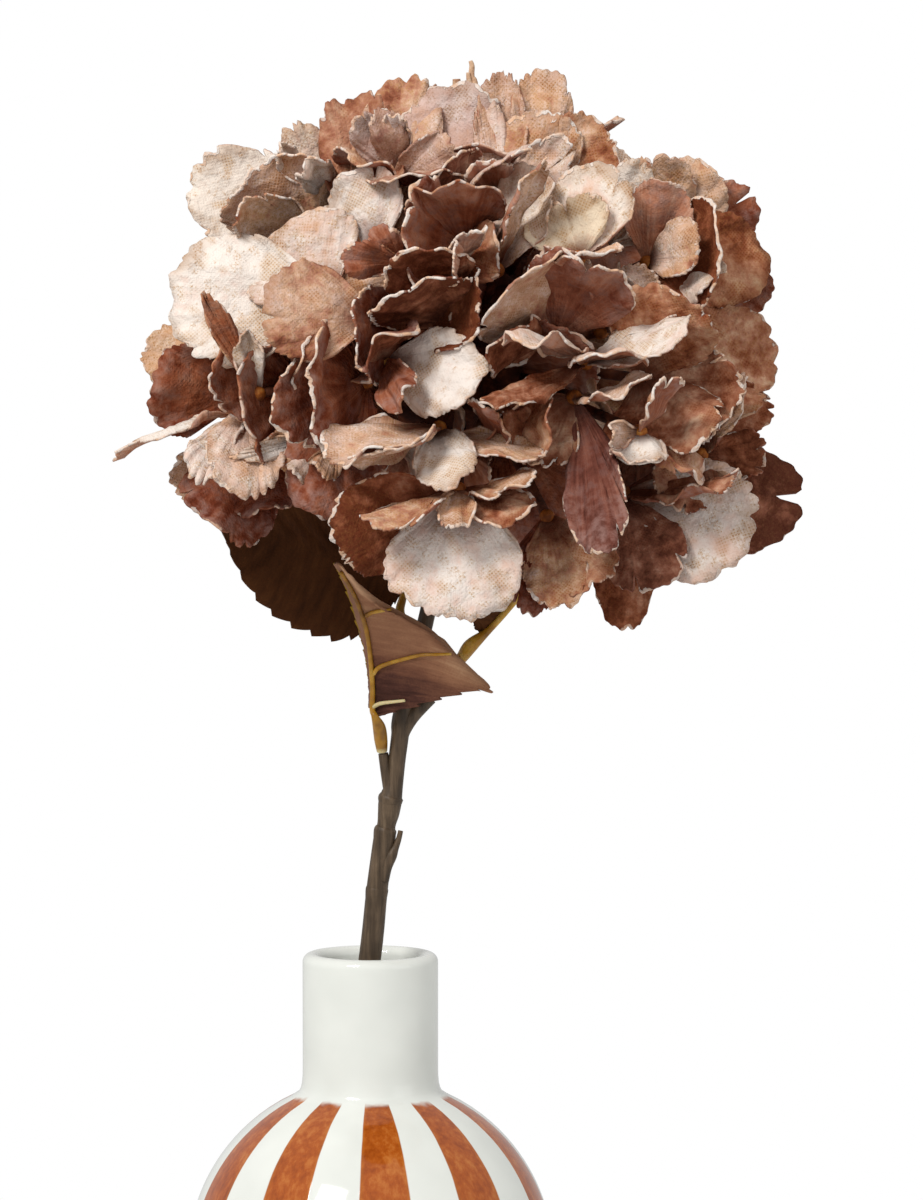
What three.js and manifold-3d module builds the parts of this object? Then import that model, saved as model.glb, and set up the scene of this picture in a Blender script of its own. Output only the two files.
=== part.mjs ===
// Hydrangea stem in a ceramic bottle vase. Millimetres, +Z up.
// The origin is the middle of the vase's flat foot, and the front is -Y.
import * as THREE from "three";
import { mergeVertices } from "three/addons/utils/BufferGeometryUtils.js";
import Module from "manifold-3d";

const wasm = await Module();
wasm.setup();

// Driving dimensions
const VASE_TOP = 122;
const VASE_BALL_RADIUS = 48;
const VASE_BALL_HEIGHT = 41;
const VASE_WALL = 4;
const FLOOR_HEIGHT = 5;
const NECK_RADIUS = 17.7;
const MOUTH_RADIUS = 13.1;
const NECK_FOOT = 90;
const FOOT_RADIUS = 24.2;
const LIP_RADIUS = (NECK_RADIUS - MOUTH_RADIUS) / 2;
const LIP_STEPS = 6;
const VASE_SEGMENTS = 40;

const HEAD_MIDDLE = [24, -14, 278];
const CORE_RADII = [37, 31, 33];
const PETAL_THICKNESS = 0.8;
const PETAL_SWEEP = 140;
const LARGE_PETAL = 27;
const LARGE_SEGMENTS = 8;
const SMALL_SEGMENTS = 6;
const MIDDLE_RING = 0.62;
const NOTCH = 0.07;
const BEAD_RADIUS = 3.2;
const HEAD_FINENESS = 0.2;
const STEM_FINENESS = 0.05;
const STALK_RADIUS = 1.5;
const BACK_FLORETS = 30;
const GOLDEN_TURN = Math.PI * (3 - Math.sqrt(5));
const FLORET_REACH = 31;
const FLORET_RISE = 9;
const FLORET_LIFT = 3;
const FRONT_LIMIT = -0.15;
const UNDER_LIMIT = -0.72;
const LEAF_DEPTH = 0.3;
const LEAF_LIMIT = -0.45;
const BACK_RADII = [54, 52, 46];

const LEAF_THICKNESS = 0.8;
const LEAF_ROWS = 26;
const TOOTH = 0.9;
const SEAT_GAP = 0.65;
const VEIN_SHARE = 0.8;

// Points below are listed by x and z as they look from this place in front, with y the true depth.
const EYE = [23.8, -1596, 325.9];

const rad = THREE.MathUtils.degToRad;
const vec = (p) => new THREE.Vector3(p[0], p[1], p[2]);

function seen(p) {
  const share = p[1] / EYE[1];
  return vec([p[0] + (EYE[0] - p[0]) * share, p[1], p[2] + (EYE[2] - p[2]) * share]);
}

// A repeatable number from 0 to 1 for piece k.
function draw(k, n) {
  const x = Math.sin(k * 12.9898 + n * 78.233) * 43758.5453;
  return x - Math.floor(x);
}

// A repeatable angle for piece k.
function phase(k, n) {
  return 2 * Math.PI * draw(k, n);
}

// Closed shapes
function closed(points, triangles) {
  const geometry = new THREE.BufferGeometry();
  const flat = points.flatMap((p) => [p.x, p.y, p.z]);
  geometry.setAttribute("position", new THREE.Float32BufferAttribute(flat, 3));
  geometry.setIndex(triangles.flat());
  return geometry;
}

function solid(geometry) {
  const bare = geometry.clone();
  bare.deleteAttribute("normal");
  bare.deleteAttribute("uv");
  const welded = mergeVertices(bare, 1e-4);
  const make = (triVerts) => new wasm.Manifold(new wasm.Mesh({
    numProp: 3,
    vertProperties: new Float32Array(welded.attributes.position.array),
    triVerts,
  }));
  const triVerts = new Uint32Array(welded.index.array);
  const body = make(triVerts);
  if (body.volume() > 0) return body;
  for (let i = 0; i < triVerts.length; i += 3) {
    [triVerts[i], triVerts[i + 1]] = [triVerts[i + 1], triVerts[i]];
  }
  return make(triVerts);
}

function shape(body) {
  const { vertProperties, triVerts, numProp } = body.getMesh();
  const geometry = new THREE.BufferGeometry();
  const positions = new Float32Array((vertProperties.length / numProp) * 3);
  for (let i = 0; i < positions.length / 3; i++) {
    for (let j = 0; j < 3; j++) positions[i * 3 + j] = vertProperties[i * numProp + j];
  }
  geometry.setAttribute("position", new THREE.BufferAttribute(positions, 3));
  geometry.setIndex(new THREE.BufferAttribute(new Uint32Array(triVerts), 1));
  return geometry;
}

// Joins bodies into one. Sealed hollows are filled and loose scraps are left out.
function fuse(bodies) {
  const whole = bodies.reduce((sum, body) => sum.add(body));
  return whole.decompose().reduce((best, body) => (body.volume() > best.volume() ? body : best));
}

// A round limb through points, with its own radius at each point.
function limb(points, radii, sides) {
  const path = points.map((p) => (p.isVector3 ? p : seen(p)));
  const rings = [];
  let across = null;
  path.forEach((p, i) => {
    const ahead = path[Math.min(i + 1, path.length - 1)];
    const behind = path[Math.max(i - 1, 0)];
    const along = ahead.clone().sub(behind).normalize();
    if (!across) across = Math.abs(along.y) < 0.9 ? vec([0, 1, 0]) : vec([1, 0, 0]);
    across = across.clone().addScaledVector(along, -across.dot(along)).normalize();
    const other = along.clone().cross(across);
    for (let j = 0; j < sides; j++) {
      const turn = (2 * Math.PI * j) / sides;
      rings.push(p.clone()
        .addScaledVector(across, radii[i] * Math.cos(turn))
        .addScaledVector(other, radii[i] * Math.sin(turn)));
    }
  });
  const triangles = [];
  for (let i = 0; i < path.length - 1; i++) {
    for (let j = 0; j < sides; j++) {
      const a = i * sides + j;
      const b = i * sides + ((j + 1) % sides);
      triangles.push([a, b, b + sides], [a, b + sides, a + sides]);
    }
  }
  const last = (path.length - 1) * sides;
  for (let j = 1; j < sides - 1; j++) {
    triangles.push([0, j + 1, j], [last, last + j, last + j + 1]);
  }
  return closed(rings, triangles);
}

// Gives a sheet of triangles its thickness. The border runs once around it.
function thicken(points, faces, border, thickness) {
  const normals = points.map(() => new THREE.Vector3());
  for (const face of faces) {
    const [a, b, c] = face.map((n) => points[n]);
    const normal = b.clone().sub(a).cross(c.clone().sub(a));
    face.forEach((n) => normals[n].add(normal));
  }
  normals.forEach((n) => n.normalize());
  const count = points.length;
  const all = [
    ...points.map((p, n) => p.clone().addScaledVector(normals[n], thickness / 2)),
    ...points.map((p, n) => p.clone().addScaledVector(normals[n], -thickness / 2)),
  ];
  const triangles = faces.flatMap(([a, b, c]) => [[a, b, c], [a + count, c + count, b + count]]);
  border.forEach((a, i) => {
    const b = border[(i + 1) % border.length];
    triangles.push([a, b, b + count], [a, b + count, a + count]);
  });
  return closed(all, triangles);
}

// The triangles between two rows of points. The first may be one point or have fewer steps.
function band(low, high) {
  const share = low.length > 1 ? (high.length - 1) / (low.length - 1) : high.length;
  const half = low.length > 1 ? Math.ceil(share / 2) : share;
  const faces = [];
  for (let j = 0; j < high.length - 1; j++) {
    const i = Math.floor(j / share);
    faces.push([low[j % share < half ? i : i + 1], high[j + 1], high[j]]);
  }
  for (let i = 0; i < low.length - 1; i++) faces.push([low[i], low[i + 1], high[i * share + half]]);
  return faces;
}

// A blade from rows of points. A first row of one point closes it to a tip.
function blade(rows, thickness) {
  const points = [];
  const index = rows.map((row) => row.map((p) => points.push(p) - 1));
  const faces = index.slice(1).flatMap((row, i) => band(index[i], row));
  const ends = index.map((row) => [row[0], row[row.length - 1]]);
  const lower = index[0].slice(1, -1).reverse();
  const upper = index[index.length - 1].slice(1, -1);
  const ring = [...ends.map((e) => e[0]), ...upper, ...ends.map((e) => e[1]).reverse(), ...lower];
  return thicken(points, faces, ring.filter((n, i) => n !== ring[(i + 1) % ring.length]), thickness);
}

// A round sheet from a middle point and rings of points.
function disc(middle, rings, thickness) {
  const points = [middle];
  const index = rings.map((ring) => ring.map((p) => points.push(p) - 1));
  const looped = index.map((ring) => [...ring, ring[0]]);
  const faces = looped.flatMap((row, i) => band(i ? looped[i - 1] : [0], row));
  return thicken(points, faces, index[index.length - 1], thickness);
}

// Vase
function vaseGeometry() {
  const arc = (radius, from, to, steps) => {
    const out = [];
    for (let i = 0; i <= steps; i++) {
      const z = from + ((to - from) * i) / steps;
      out.push([Math.sqrt(radius ** 2 - (z - VASE_BALL_HEIGHT) ** 2), z]);
    }
    return out;
  };
  const inner = VASE_BALL_RADIUS - VASE_WALL;
  const lip = Array.from({ length: LIP_STEPS + 1 }, (_, i) => {
    const turn = (Math.PI * i) / LIP_STEPS;
    return [
      MOUTH_RADIUS + LIP_RADIUS * (1 + Math.cos(turn)),
      VASE_TOP - LIP_RADIUS * (1 - Math.sin(turn)),
    ];
  });
  const profile = [
    [0, 0], [FOOT_RADIUS, 0], [FOOT_RADIUS + 1.1, 0.6],
    ...arc(VASE_BALL_RADIUS, 3, 85, 12),
    [18.3, 86.6], [NECK_RADIUS + 0.1, 88.2], [NECK_RADIUS, NECK_FOOT],
    ...lip,
    [MOUTH_RADIUS, NECK_FOOT - 2], [MOUTH_RADIUS + 0.7, 85.6],
    ...arc(inner, 82.2, 8, 7),
    [FOOT_RADIUS - 0.7, FLOOR_HEIGHT], [0, FLOOR_HEIGHT],
  ];
  const points = profile.map(([r, z]) => new THREE.Vector2(r, z));
  return new THREE.LatheGeometry(points, VASE_SEGMENTS).rotateX(Math.PI / 2);
}

// Stem
const STEM = [
  [-16.2, -5.5, 5.9], [-4.6, -8.6, 88], [0, -9.6, 121.5], [1.6, -10.3, 137], [2.6, -10.7, 145],
  [3.8, -11, 152.5], [4.2, -11, 155.4], [4.8, -11.1, 158.6], [5.3, -11.2, 162.2], [6.3, -11.5, 166.4],
  [7, -11.8, 172.7], [7.8, -12, 179], [8.4, -12.2, 185.2], [14.3, -13, 208], [18, -13.6, 226],
];
const STEM_RADII = [2.9, 2.9, 2.9, 2.8, 2.75, 2.85, 2.4, 2.8, 3, 2.3, 2.25, 2.3, 2.3, 2.1, 2.1];
const STEM_STEPS = 28;

function stemGeometry() {
  const path = STEM.map(seen);
  path[0] = vec(STEM[0]);
  const curve = new THREE.CatmullRomCurve3(path, false, "centripetal");
  const radiusAt = (t) => {
    const place = t * (STEM_RADII.length - 1);
    const i = Math.min(Math.floor(place), STEM_RADII.length - 2);
    return STEM_RADII[i] + (STEM_RADII[i + 1] - STEM_RADII[i]) * (place - i);
  };
  const spots = Array.from({ length: STEM_STEPS + 1 }, (_, i) => i / STEM_STEPS);
  const main = limb(spots.map((t) => curve.getPoint(t)), spots.map(radiusAt), 8);
  return shape(fuse([
    solid(main),
    solid(limb([[5.2, -11.2, 161.2], [5.35, -11.2, 162.6], [5.6, -11.2, 163.6]], [3, 3.25, 2.6], 8)),
    solid(limb([[3.5, -11, 151], [3.9, -11, 154], [4.1, -11, 155]], [2.7, 2.95, 2.5], 8)),
    solid(limb([[1.4, -10.2, 135.5], [1.75, -10.3, 138.6], [1.9, -10.3, 139.6]], [2.7, 2.95, 2.5], 8)),
    solid(limb([[3.2, -11.4, 141], [4.1, -11.8, 144.5], [5.5, -12.2, 147.5], [6.5, -12.2, 149.5],
      [7.4, -12.2, 151.8], [7.95, -12.2, 154]], [1.7, 1.6, 1.5, 1, 0.75, 0.65], 6)),
    solid(limb([[4.9, -11.4, 164], [4.2, -11.6, 169.5], [3.4, -11.8, 174.3]], [1.4, 1.5, 1.3], 8)),
    solid(limb([[7.9, -12, 177], [8.7, -12, 180.5], [11.2, -11.8, 184.5], [15.6, -11.6, 189]],
      [1.6, 2, 2.1, 2], 8)),
    solid(limb([[12.2, -12.8, 200], [10.2, -11, 204], [8.6, -10, 208]], [1.7, 1.5, 1.3], 8)),
  ]).asOriginal().simplify(STEM_FINENESS));
}

// Leaves
// Each leaf is a net of points: rows run from its foot to its end, and columns from one edge to the other.
const LEAVES = {
  front_leaf: {
    rows: [
      [[-0.2, -15.4, 186.4], [0.2, -15.6, 185.8], [1, -16, 185], [1.7, -16.4, 184.5], [2.4, -16.8, 184]],
      [[-0.3, -16.2, 191], [0.2, -16.6, 190.4], [1, -17.2, 190], [5.6, -18.6, 188], [11, -19.4, 186]],
      [[-0.6, -17, 195.4], [0, -17.8, 195.2], [0.8, -18.8, 195], [9.6, -21, 191.8], [19.6, -22, 188.6]],
      [[-1.6, -18.4, 200.6], [-0.6, -19.4, 200.4], [0.3, -20.6, 200], [14, -23.6, 196], [28, -24.6, 190.4]],
      [[-3.2, -20, 206.4], [-1.8, -21.4, 206.4], [-0.6, -22.8, 206.2], [17, -25.6, 200], [32, -23, 190.6]],
      [[-5, -22.2, 212.4], [-3.4, -23.6, 212.5], [-2.2, -25.4, 212.4], [12.6, -27, 207], [24.4, -20, 198]],
      [[-6.9, -25, 218.4], [-5.8, -26.4, 218.4], [-4.8, -28.2, 218.2], [2.6, -28.6, 212.6], [16, -20, 206.4]],
      [[-9.4, -29.4, 224], [-8.9, -30, 223.9], [-8, -31, 223.7], [-4.2, -30, 219.6], [-1.2, -26, 215.4]],
    ],
    rib: {
      side: -1,
      foot: [[3.1, -12.2, 174.9], [2.8, -13.6, 178], [2.3, -16, 181.2], [1.1, -18.8, 184.2]],
      footRadii: [1.4, 1.75, 1.65, 0.85],
      mid: [[0.04, 0], [0.2, 0], [0.4, 0], [0.6, 0], [0.8, 0], [0.95, 0]],
      veins: [
        [[0.06, 0.06], [0.1, 0.3], [0.14, 0.5], [0.19, 0.66]],
        [[0.3, 0.04], [0.37, 0.13], [0.443, 0.27], [0.535, 0.4], [0.58, 0.5], [0.633, 0.65]],
        [[0.68, 0.05], [0.71, 0.12], [0.77, 0.28], [0.85, 0.58]],
      ],
      radius: 0.75,
    },
  },
  left_leaf: {
    rows: [
      [[8.6, -14.4, 217.4], [9.4, -14.2, 218.4], [10, -14, 219.6], [10, -14, 221], [9.6, -14, 222.4]],
      [[4, -16, 209.6], [3.6, -15, 215], [3.4, -14.6, 221.6], [3.6, -14.6, 226], [4, -14.6, 229.6]],
      [[-6, -17, 203.4], [-5, -16, 212.4], [-4, -15.4, 224], [-3.2, -15, 230], [-2.6, -15, 235]],
      [[-14, -18.6, 204.4], [-13.6, -17.4, 214.6], [-13, -16.4, 227], [-12, -16, 233], [-11, -16, 238]],
      [[-22, -19.6, 207.8], [-21, -18, 218], [-20, -17, 229.2], [-19, -16.8, 235], [-18, -16.6, 239.6]],
      [[-29.4, -20, 213.8], [-28.2, -18.4, 222.4], [-27, -17.4, 231], [-26, -17, 235.6], [-25.6, -17, 239]],
      [[-34.8, -20, 222.4], [-34, -18.8, 228], [-33, -18, 233], [-32.4, -17.6, 236], [-32, -17.4, 238.4]],
      [[-38.4, -19, 232.4], [-38.6, -18.6, 234], [-38.6, -18.4, 235.6], [-38.6, -18, 236.6], [-39, -18, 237]],
    ],
    rib: {
      side: 1,
      foot: [[8.3, -9.8, 208.9], [7.8, -9.6, 211.8], [8.6, -10.4, 215.6]],
      footRadii: [1.3, 1.2, 1],
      mid: [[0.05, 0], [0.25, 0], [0.45, 0], [0.65, 0], [0.85, 0]],
      veins: [],
      radius: 0.75,
    },
  },
  right_leaf: {
    rows: [
      [[27.4, -16.4, 207], [28.4, -16.2, 206.2], [29.4, -16, 206], [30.4, -14.8, 206], [31.4, -13.6, 206]],
      [[26.4, -20, 210], [29.6, -18.4, 209.6], [33.4, -17, 210.4], [35, -12.6, 211.4], [36, -8, 212.4]],
      [[28.6, -22, 217], [34, -20, 216.4], [39, -18, 216.6], [41, -11, 218.4], [42, -4, 219.6]],
      [[36, -23, 225], [41, -21, 223.6], [46, -19, 222.6], [48, -11, 224.6], [49, -4, 226]],
      [[44, -23, 230.4], [48.4, -21.4, 228.6], [52.6, -20, 227], [54.4, -13, 228.4], [55.4, -7, 229.4]],
      [[54, -22, 232.4], [56, -21, 231.4], [58, -20.4, 230.6], [59, -18, 231], [59.8, -16, 231.4]],
    ],
    rib: {
      side: -1,
      foot: [[16.2, -11.3, 190], [19.6, -12.6, 194.4], [23.8, -15.6, 199.2], [26.2, -17.8, 202.4]],
      footRadii: [1.4, 1.2, 1.55, 1.85],
      mid: [[0.06, 0], [0.2, 0], [0.4, 0], [0.6, 0], [0.85, 0]],
      veins: [],
      radius: 0.95,
    },
  },
};

// A smooth surface through the net; u runs along the leaf and w from -1 to 1 across it.
function netPoint(rows, u, w) {
  const pick = (list, t) => {
    const place = t * (list.length - 1);
    const i = Math.min(Math.floor(place), list.length - 2);
    const at = (n) => list[Math.max(0, Math.min(list.length - 1, n))];
    const f = place - i;
    const [a, b, c, d] = [at(i - 1), at(i), at(i + 1), at(i + 2)];
    return [0, 1, 2].map((n) => 0.5 * (2 * b[n] + (c[n] - a[n]) * f
      + (2 * a[n] - 5 * b[n] + 4 * c[n] - d[n]) * f ** 2
      + (3 * b[n] - a[n] - 3 * c[n] + d[n]) * f ** 3));
  };
  return seen(pick(rows.map((row) => pick(row, (w + 1) / 2)), u));
}

function leafGeometry(leaf) {
  const across = [-1, -0.5, 0, 0.5, 1];
  const rows = [];
  for (let i = 0; i <= LEAF_ROWS; i++) {
    const u = i / LEAF_ROWS;
    const step = i > 1 && i < LEAF_ROWS ? (i % 2 ? TOOTH : -TOOTH) : 0;
    rows.push(across.map((w) => {
      const p = netPoint(leaf.rows, u, w);
      if (Math.abs(w) < 1 || !step) return p;
      const inner = netPoint(leaf.rows, u, w * 0.5);
      return p.addScaledVector(p.clone().sub(inner).normalize(), step - TOOTH);
    }));
  }
  return blade(rows, LEAF_THICKNESS);
}

function ribGeometry(leaf) {
  const { rib } = leaf;
  const lie = ([u, w]) => {
    const p = netPoint(leaf.rows, u, w);
    const along = netPoint(leaf.rows, Math.min(1, u + 0.01), w).sub(p);
    const side = netPoint(leaf.rows, u, w + 0.02).sub(p);
    const normal = along.cross(side).normalize();
    if (normal.y * rib.side < 0) normal.negate();
    return p.addScaledVector(normal, LEAF_THICKNESS / 2 + SEAT_GAP + rib.radius);
  };
  const mid = rib.mid.map(lie);
  const foot = rib.foot.map(seen);
  const midRadii = [...rib.footRadii, ...mid.map((_, i) => rib.radius * (1 - 0.45 * (i / mid.length)))];
  const parts = [limb([...foot, ...mid], midRadii, 7)];
  for (const vein of rib.veins) {
    const radii = vein.map((_, i) => rib.radius * (VEIN_SHARE - 0.4 * (i / vein.length)));
    parts.push(limb(vein.map(lie), radii, 6));
  }
  return shape(fuse(parts.map(solid)));
}

// Hydrangea head
// Florets of the front: [middle, petals], each petal [end, width, way the pale face looks, bend, cup].
const FRONT_FLORETS = [
  [[23, -68, 243], [
    [[21, -80, 208], 36, [0, -1, 0.15], -20, -25],
    [[-10, -77, 227], 27, [-0.15, -1, -0.3], 20, 25],
    [[-1, -86, 232], 17, [-0.1, -0.25, 1], -15, 25],
    [[43, -80, 246], 17, [0.1, -0.45, 1], 25, 20],
    [[41, -82, 236], 18, [0, -0.6, 1], 20, 20],
    [[22, -86, 232], 10, [0, -1, 0.8], -35, 20]]],
  [[18, -60, 259], [
    [[-10, -84, 250], 27, [-0.3, -0.5, 0.85], -35, 35],
    [[-4, -87, 251], 20, [0.1, -0.4, -0.9], -20, 25],
    [[21, -84, 243], 17, [-0.1, -1, 0.1], -15, -15],
    [[46, -76, 251], 14, [0, -0.4, 1], 10, 10]]],
  [[4, -58, 276], [
    [[29, -78, 271], 24, [0.05, -1, 0.1], -10, 20],
    [[9, -82, 265], 12, [0.3, 1, 0], 25, 20],
    [[6, -80, 283], 20, [0.6, 0.1, -0.9], 30, 40]]],
  [[-1, -52, 271], [
    [[-15, -80, 268], 36, [-0.75, 0.6, 0], -25, -25],
    [[-24, -77, 263], 25, [-0.75, 0.6, 0], -30, -25],
    [[-20, -72, 278], 22, [-0.8, 0.5, 0.2], -20, -20],
    [[-14, -66, 238], 17, [0.1, 1, 0.2], 20, 25]]],
  [[-16, -44, 266], [
    [[-34, -71, 265], 32, [-0.5, 0.8, 0], -25, -25],
    [[-41, -63, 277], 24, [-0.4, 0.9, 0], -25, -20]]],
  [[-32, -44, 264], [
    [[-46, -68, 245], 12, [-0.4, -1, 0.2], -20, 40],
    [[-34, -74, 241], 21, [0.2, -1, 0.2], -30, -30],
    [[-68, -54, 250], 13, [0.05, 0.1, 1], -25, -40]]],
  [[-34, -36, 268], [
    [[-58, -44, 270], 25, [0.2, 1, 0.1], 20, -20],
    [[-58, -30, 283], 20, [-0.2, -1, 0.2], -20, 20]]],
  [[-28, -38, 252], [
    [[-42, -52, 232], 27, [0.1, 1, 0.2], -25, 30],
    [[-26, -54, 236], 20, [0.1, 1, 0.2], -20, 20],
    [[-52, -42, 243], 16, [0, -1, 0.2], -20, 20]]],
  [[2, -54, 288], [
    [[-29, -74, 291], 27, [0.15, -1, 0.15], 15, -10]]],
  [[-10, -50, 293], [
    [[-54, -50, 293], 36, [-0.2, -1, 0.3], 25, 20],
    [[-24, -56, 312], 32, [-0.1, -1, 0.35], 20, 15],
    [[2, -60, 310], 22, [0, -1, 0.3], 10, 15]]],
  [[-14, -36, 307], [
    [[-46, -28, 327], 28, [-0.2, -1, 0.1], 25, 25],
    [[-30, -48, 327], 34, [0.1, -0.9, -0.5], 40, 50],
    [[-35, -56, 316], 17, [0.1, -0.9, -0.35], 30, 50],
    [[-12, -32, 338], 21, [0, -1, 0.2], 15, -15]]],
  [[2, -38, 305], [
    [[-4, -62, 327], 21, [-0.15, -1, 0.15], 20, 45],
    [[-5, -34, 348], 22, [0, 1, 0.2], -15, 15],
    [[11, -30, 351], 23, [0, -1, 0.1], 15, 20]]],
  [[6, -38, 320], [
    [[-6, -56, 330], 20, [-0.1, -0.5, 1], -15, 20],
    [[17, -62, 325], 27, [0.1, -0.4, 1], -20, 15],
    [[23, -56, 334], 13, [0.1, -1, 0.1], -20, 15]]],
  [[24, -40, 318], [
    [[20, -44, 349], 29, [0, -1, 0.15], 20, 20],
    [[18, -60, 325], 24, [0.2, -0.95, -0.1], 30, 30],
    [[40, -64, 331], 20, [-0.2, -0.4, 1], -20, 20]]],
  [[46, -42, 318], [
    [[43, -50, 342], 22, [0, -1, 0.3], 20, 30],
    [[44, -34, 353], 17, [0.1, -1, 0.1], 10, 10],
    [[60, -40, 339], 22, [0.3, -0.9, 0.4], 15, 10],
    [[68, -34, 330], 14, [0.3, -0.9, 0.3], 10, 10]]],
  [[25, -50, 306], [
    [[9, -75, 308], 35, [-0.8, 0.45, 0], -25, -30],
    [[20, -74, 323], 26, [0.1, 1, 0.2], -20, -20]]],
  [[10, -52, 285], [
    [[-5, -77, 282], 26, [-0.75, 0.55, 0], -25, -25],
    [[29, -76, 294], 25, [-0.8, -0.4, 0.3], 30, 40]]],
  [[24, -56, 286], [
    [[10, -80, 305], 24, [0.4, -0.35, -0.9], 30, 35],
    [[7, -83, 294], 28, [0.4, -0.3, -0.9], 30, 30]]],
  [[33, -50, 300], [
    [[41, -68, 330], 20, [-0.7, -0.75, 0.2], 25, 30],
    [[46, -74, 330], 11, [0.8, -0.6, 0.2], 20, 20]]],
  [[48, -54, 282], [
    [[40, -80, 300], 36, [0.5, -0.7, -0.5], 45, 45],
    [[59, -78, 303], 29, [0, 1, 0.3], -30, -30],
    [[30, -74, 278], 18, [0.6, -0.5, -0.6], 20, 20]]],
  [[56, -58, 276], [
    [[40, -86, 283], 20, [0, -0.3, 1], -30, 20],
    [[84, -75, 285], 20, [0.05, -0.7, 0.8], -10, 15],
    [[66, -84, 277], 20, [0, -0.3, 1], -20, 20],
    [[32, -82, 267], 15, [0, -0.65, 0.9], 20, 15]]],
  [[53, -60, 267], [
    [[71, -84, 272], 16, [-0.2, -0.25, 1], 20, 25],
    [[60, -88, 226], 17, [0.3, 1, 0.1], -35, -25],
    [[37, -74, 253], 24, [0.1, -1, 0.2], 20, 35]]],
  [[70, -54, 272], [
    [[80, -77, 252], 33, [0, -1, 0.2], 20, 30],
    [[96, -66, 264], 26, [-0.1, -1, 0.25], 20, 30],
    [[80, -70, 295], 30, [0, -1, 0.1], 15, 25],
    [[106, -37, 280], 32, [-0.1, -1, 0.1], 20, 15],
    [[106, -36, 261], 16, [-0.1, -1, 0.1], 15, 20]]],
  [[66, -48, 242], [
    [[100, -60, 229], 34, [0, -1, 0.25], -15, 20],
    [[75, -66, 216], 22, [0, -1, 0.1], -10, -20],
    [[113, -38, 240], 30, [-0.1, -1, 0.1], -15, 20],
    [[97, -74, 246], 13, [0, -0.6, 0.9], 15, 30],
    [[66, -58, 206], 16, [0, -1, 0.1], -10, -15]]],
  [[46, -50, 236], [
    [[60, -70, 217], 19, [0, -1, 0.1], 20, -20],
    [[41, -66, 210], 14, [0.1, 1, 0.1], 15, 20],
    [[50, -70, 211], 17, [0, -1, 0.1], -10, 15]]],
  [[54, -48, 303], [
    [[60, -58, 329], 20, [0, -1, 0.2], 15, -15],
    [[49, -67, 320], 23, [-0.3, -1, 0.4], 15, -15],
    [[58, -75, 304], 20, [0, -0.5, 1], 20, 20]]],
  [[72, -46, 302], [
    [[86, -64, 308], 16, [-0.1, -1, 0.4], -15, 20],
    [[77, -52, 324], 18, [0, 1, 0.1], 15, -15],
    [[92, -61, 306], 31, [-0.7, -0.5, 0.2], 25, 30],
    [[104, -32, 303], 25, [0.1, -1, 0.1], -10, -20],
    [[90, -62, 297], 19, [-0.2, -0.9, 0.4], 20, 20]]],
  [[76, -24, 306], [
    [[101, -22, 318], 20, [0.1, 1, 0.1], 10, -20],
    [[88, -26, 328], 20, [0, -1, 0.2], 10, -15],
    [[74, -30, 331], 20, [0, -1, 0.2], 10, -15],
    [[104, -22, 291], 22, [0.1, 1, 0.1], 10, -20]]],
];

// Florets over the back, spread evenly. Each is one cut sheet with four petals, tilted as on a roof.
function backFlorets() {
  const florets = [];
  for (let i = 0; i < BACK_FLORETS; i++) {
    const up = 1 - (2 * (i + 0.5)) / BACK_FLORETS;
    const turn = i * GOLDEN_TURN + 0.3;
    const flat = Math.sqrt(1 - up * up);
    const out = vec([flat * Math.cos(turn), flat * Math.sin(turn), up]);
    if (out.y < FRONT_LIMIT || out.z < (out.y < LEAF_DEPTH ? LEAF_LIMIT : UNDER_LIMIT)) continue;
    const middle = vec(BACK_RADII).multiply(out).add(vec(HEAD_MIDDLE));
    const flow = vec([0.5, 0.2, 1]);
    flow.addScaledVector(out, -out.dot(flow)).normalize();
    const axis = out.clone().addScaledVector(flow, -0.3 - 0.1 * draw(i, 55)).normalize();
    const side = axis.clone().cross(vec([0.2, 0.1, 1])).normalize();
    florets.push({ i, middle, axis, side, other: axis.clone().cross(side) });
  }
  return florets;
}

// A point of a back floret: s runs from its middle to its edge, turn goes around it.
function floretPoint({ i, middle, axis, side, other }, s, turn) {
  const lobe = 0.36 + 0.64 * Math.abs(Math.cos(2 * turn)) ** 0.45;
  const size = FLORET_REACH + 3 * Math.sin(turn + phase(i, 50)) + 2 * Math.sin(2 * turn + phase(i, 51));
  const r = s * size * lobe;
  const rise = FLORET_RISE * s ** 1.6 + 2.6 * s ** 2 * Math.sin(3 * turn + phase(i, 52));
  const angle = turn + phase(i, 53);
  return middle.clone()
    .addScaledVector(axis, rise + FLORET_LIFT)
    .addScaledVector(side, r * Math.cos(angle))
    .addScaledVector(other, r * Math.sin(angle));
}

function floretGeometry(floret) {
  const ring = (s, steps) => Array.from({ length: steps }, (_, j) => (
    floretPoint(floret, s, (-2 * Math.PI * j) / steps + Math.PI / 4)));
  return disc(floretPoint(floret, 0, 0), [ring(0.5, 8), ring(1, 16)], PETAL_THICKNESS);
}

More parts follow.
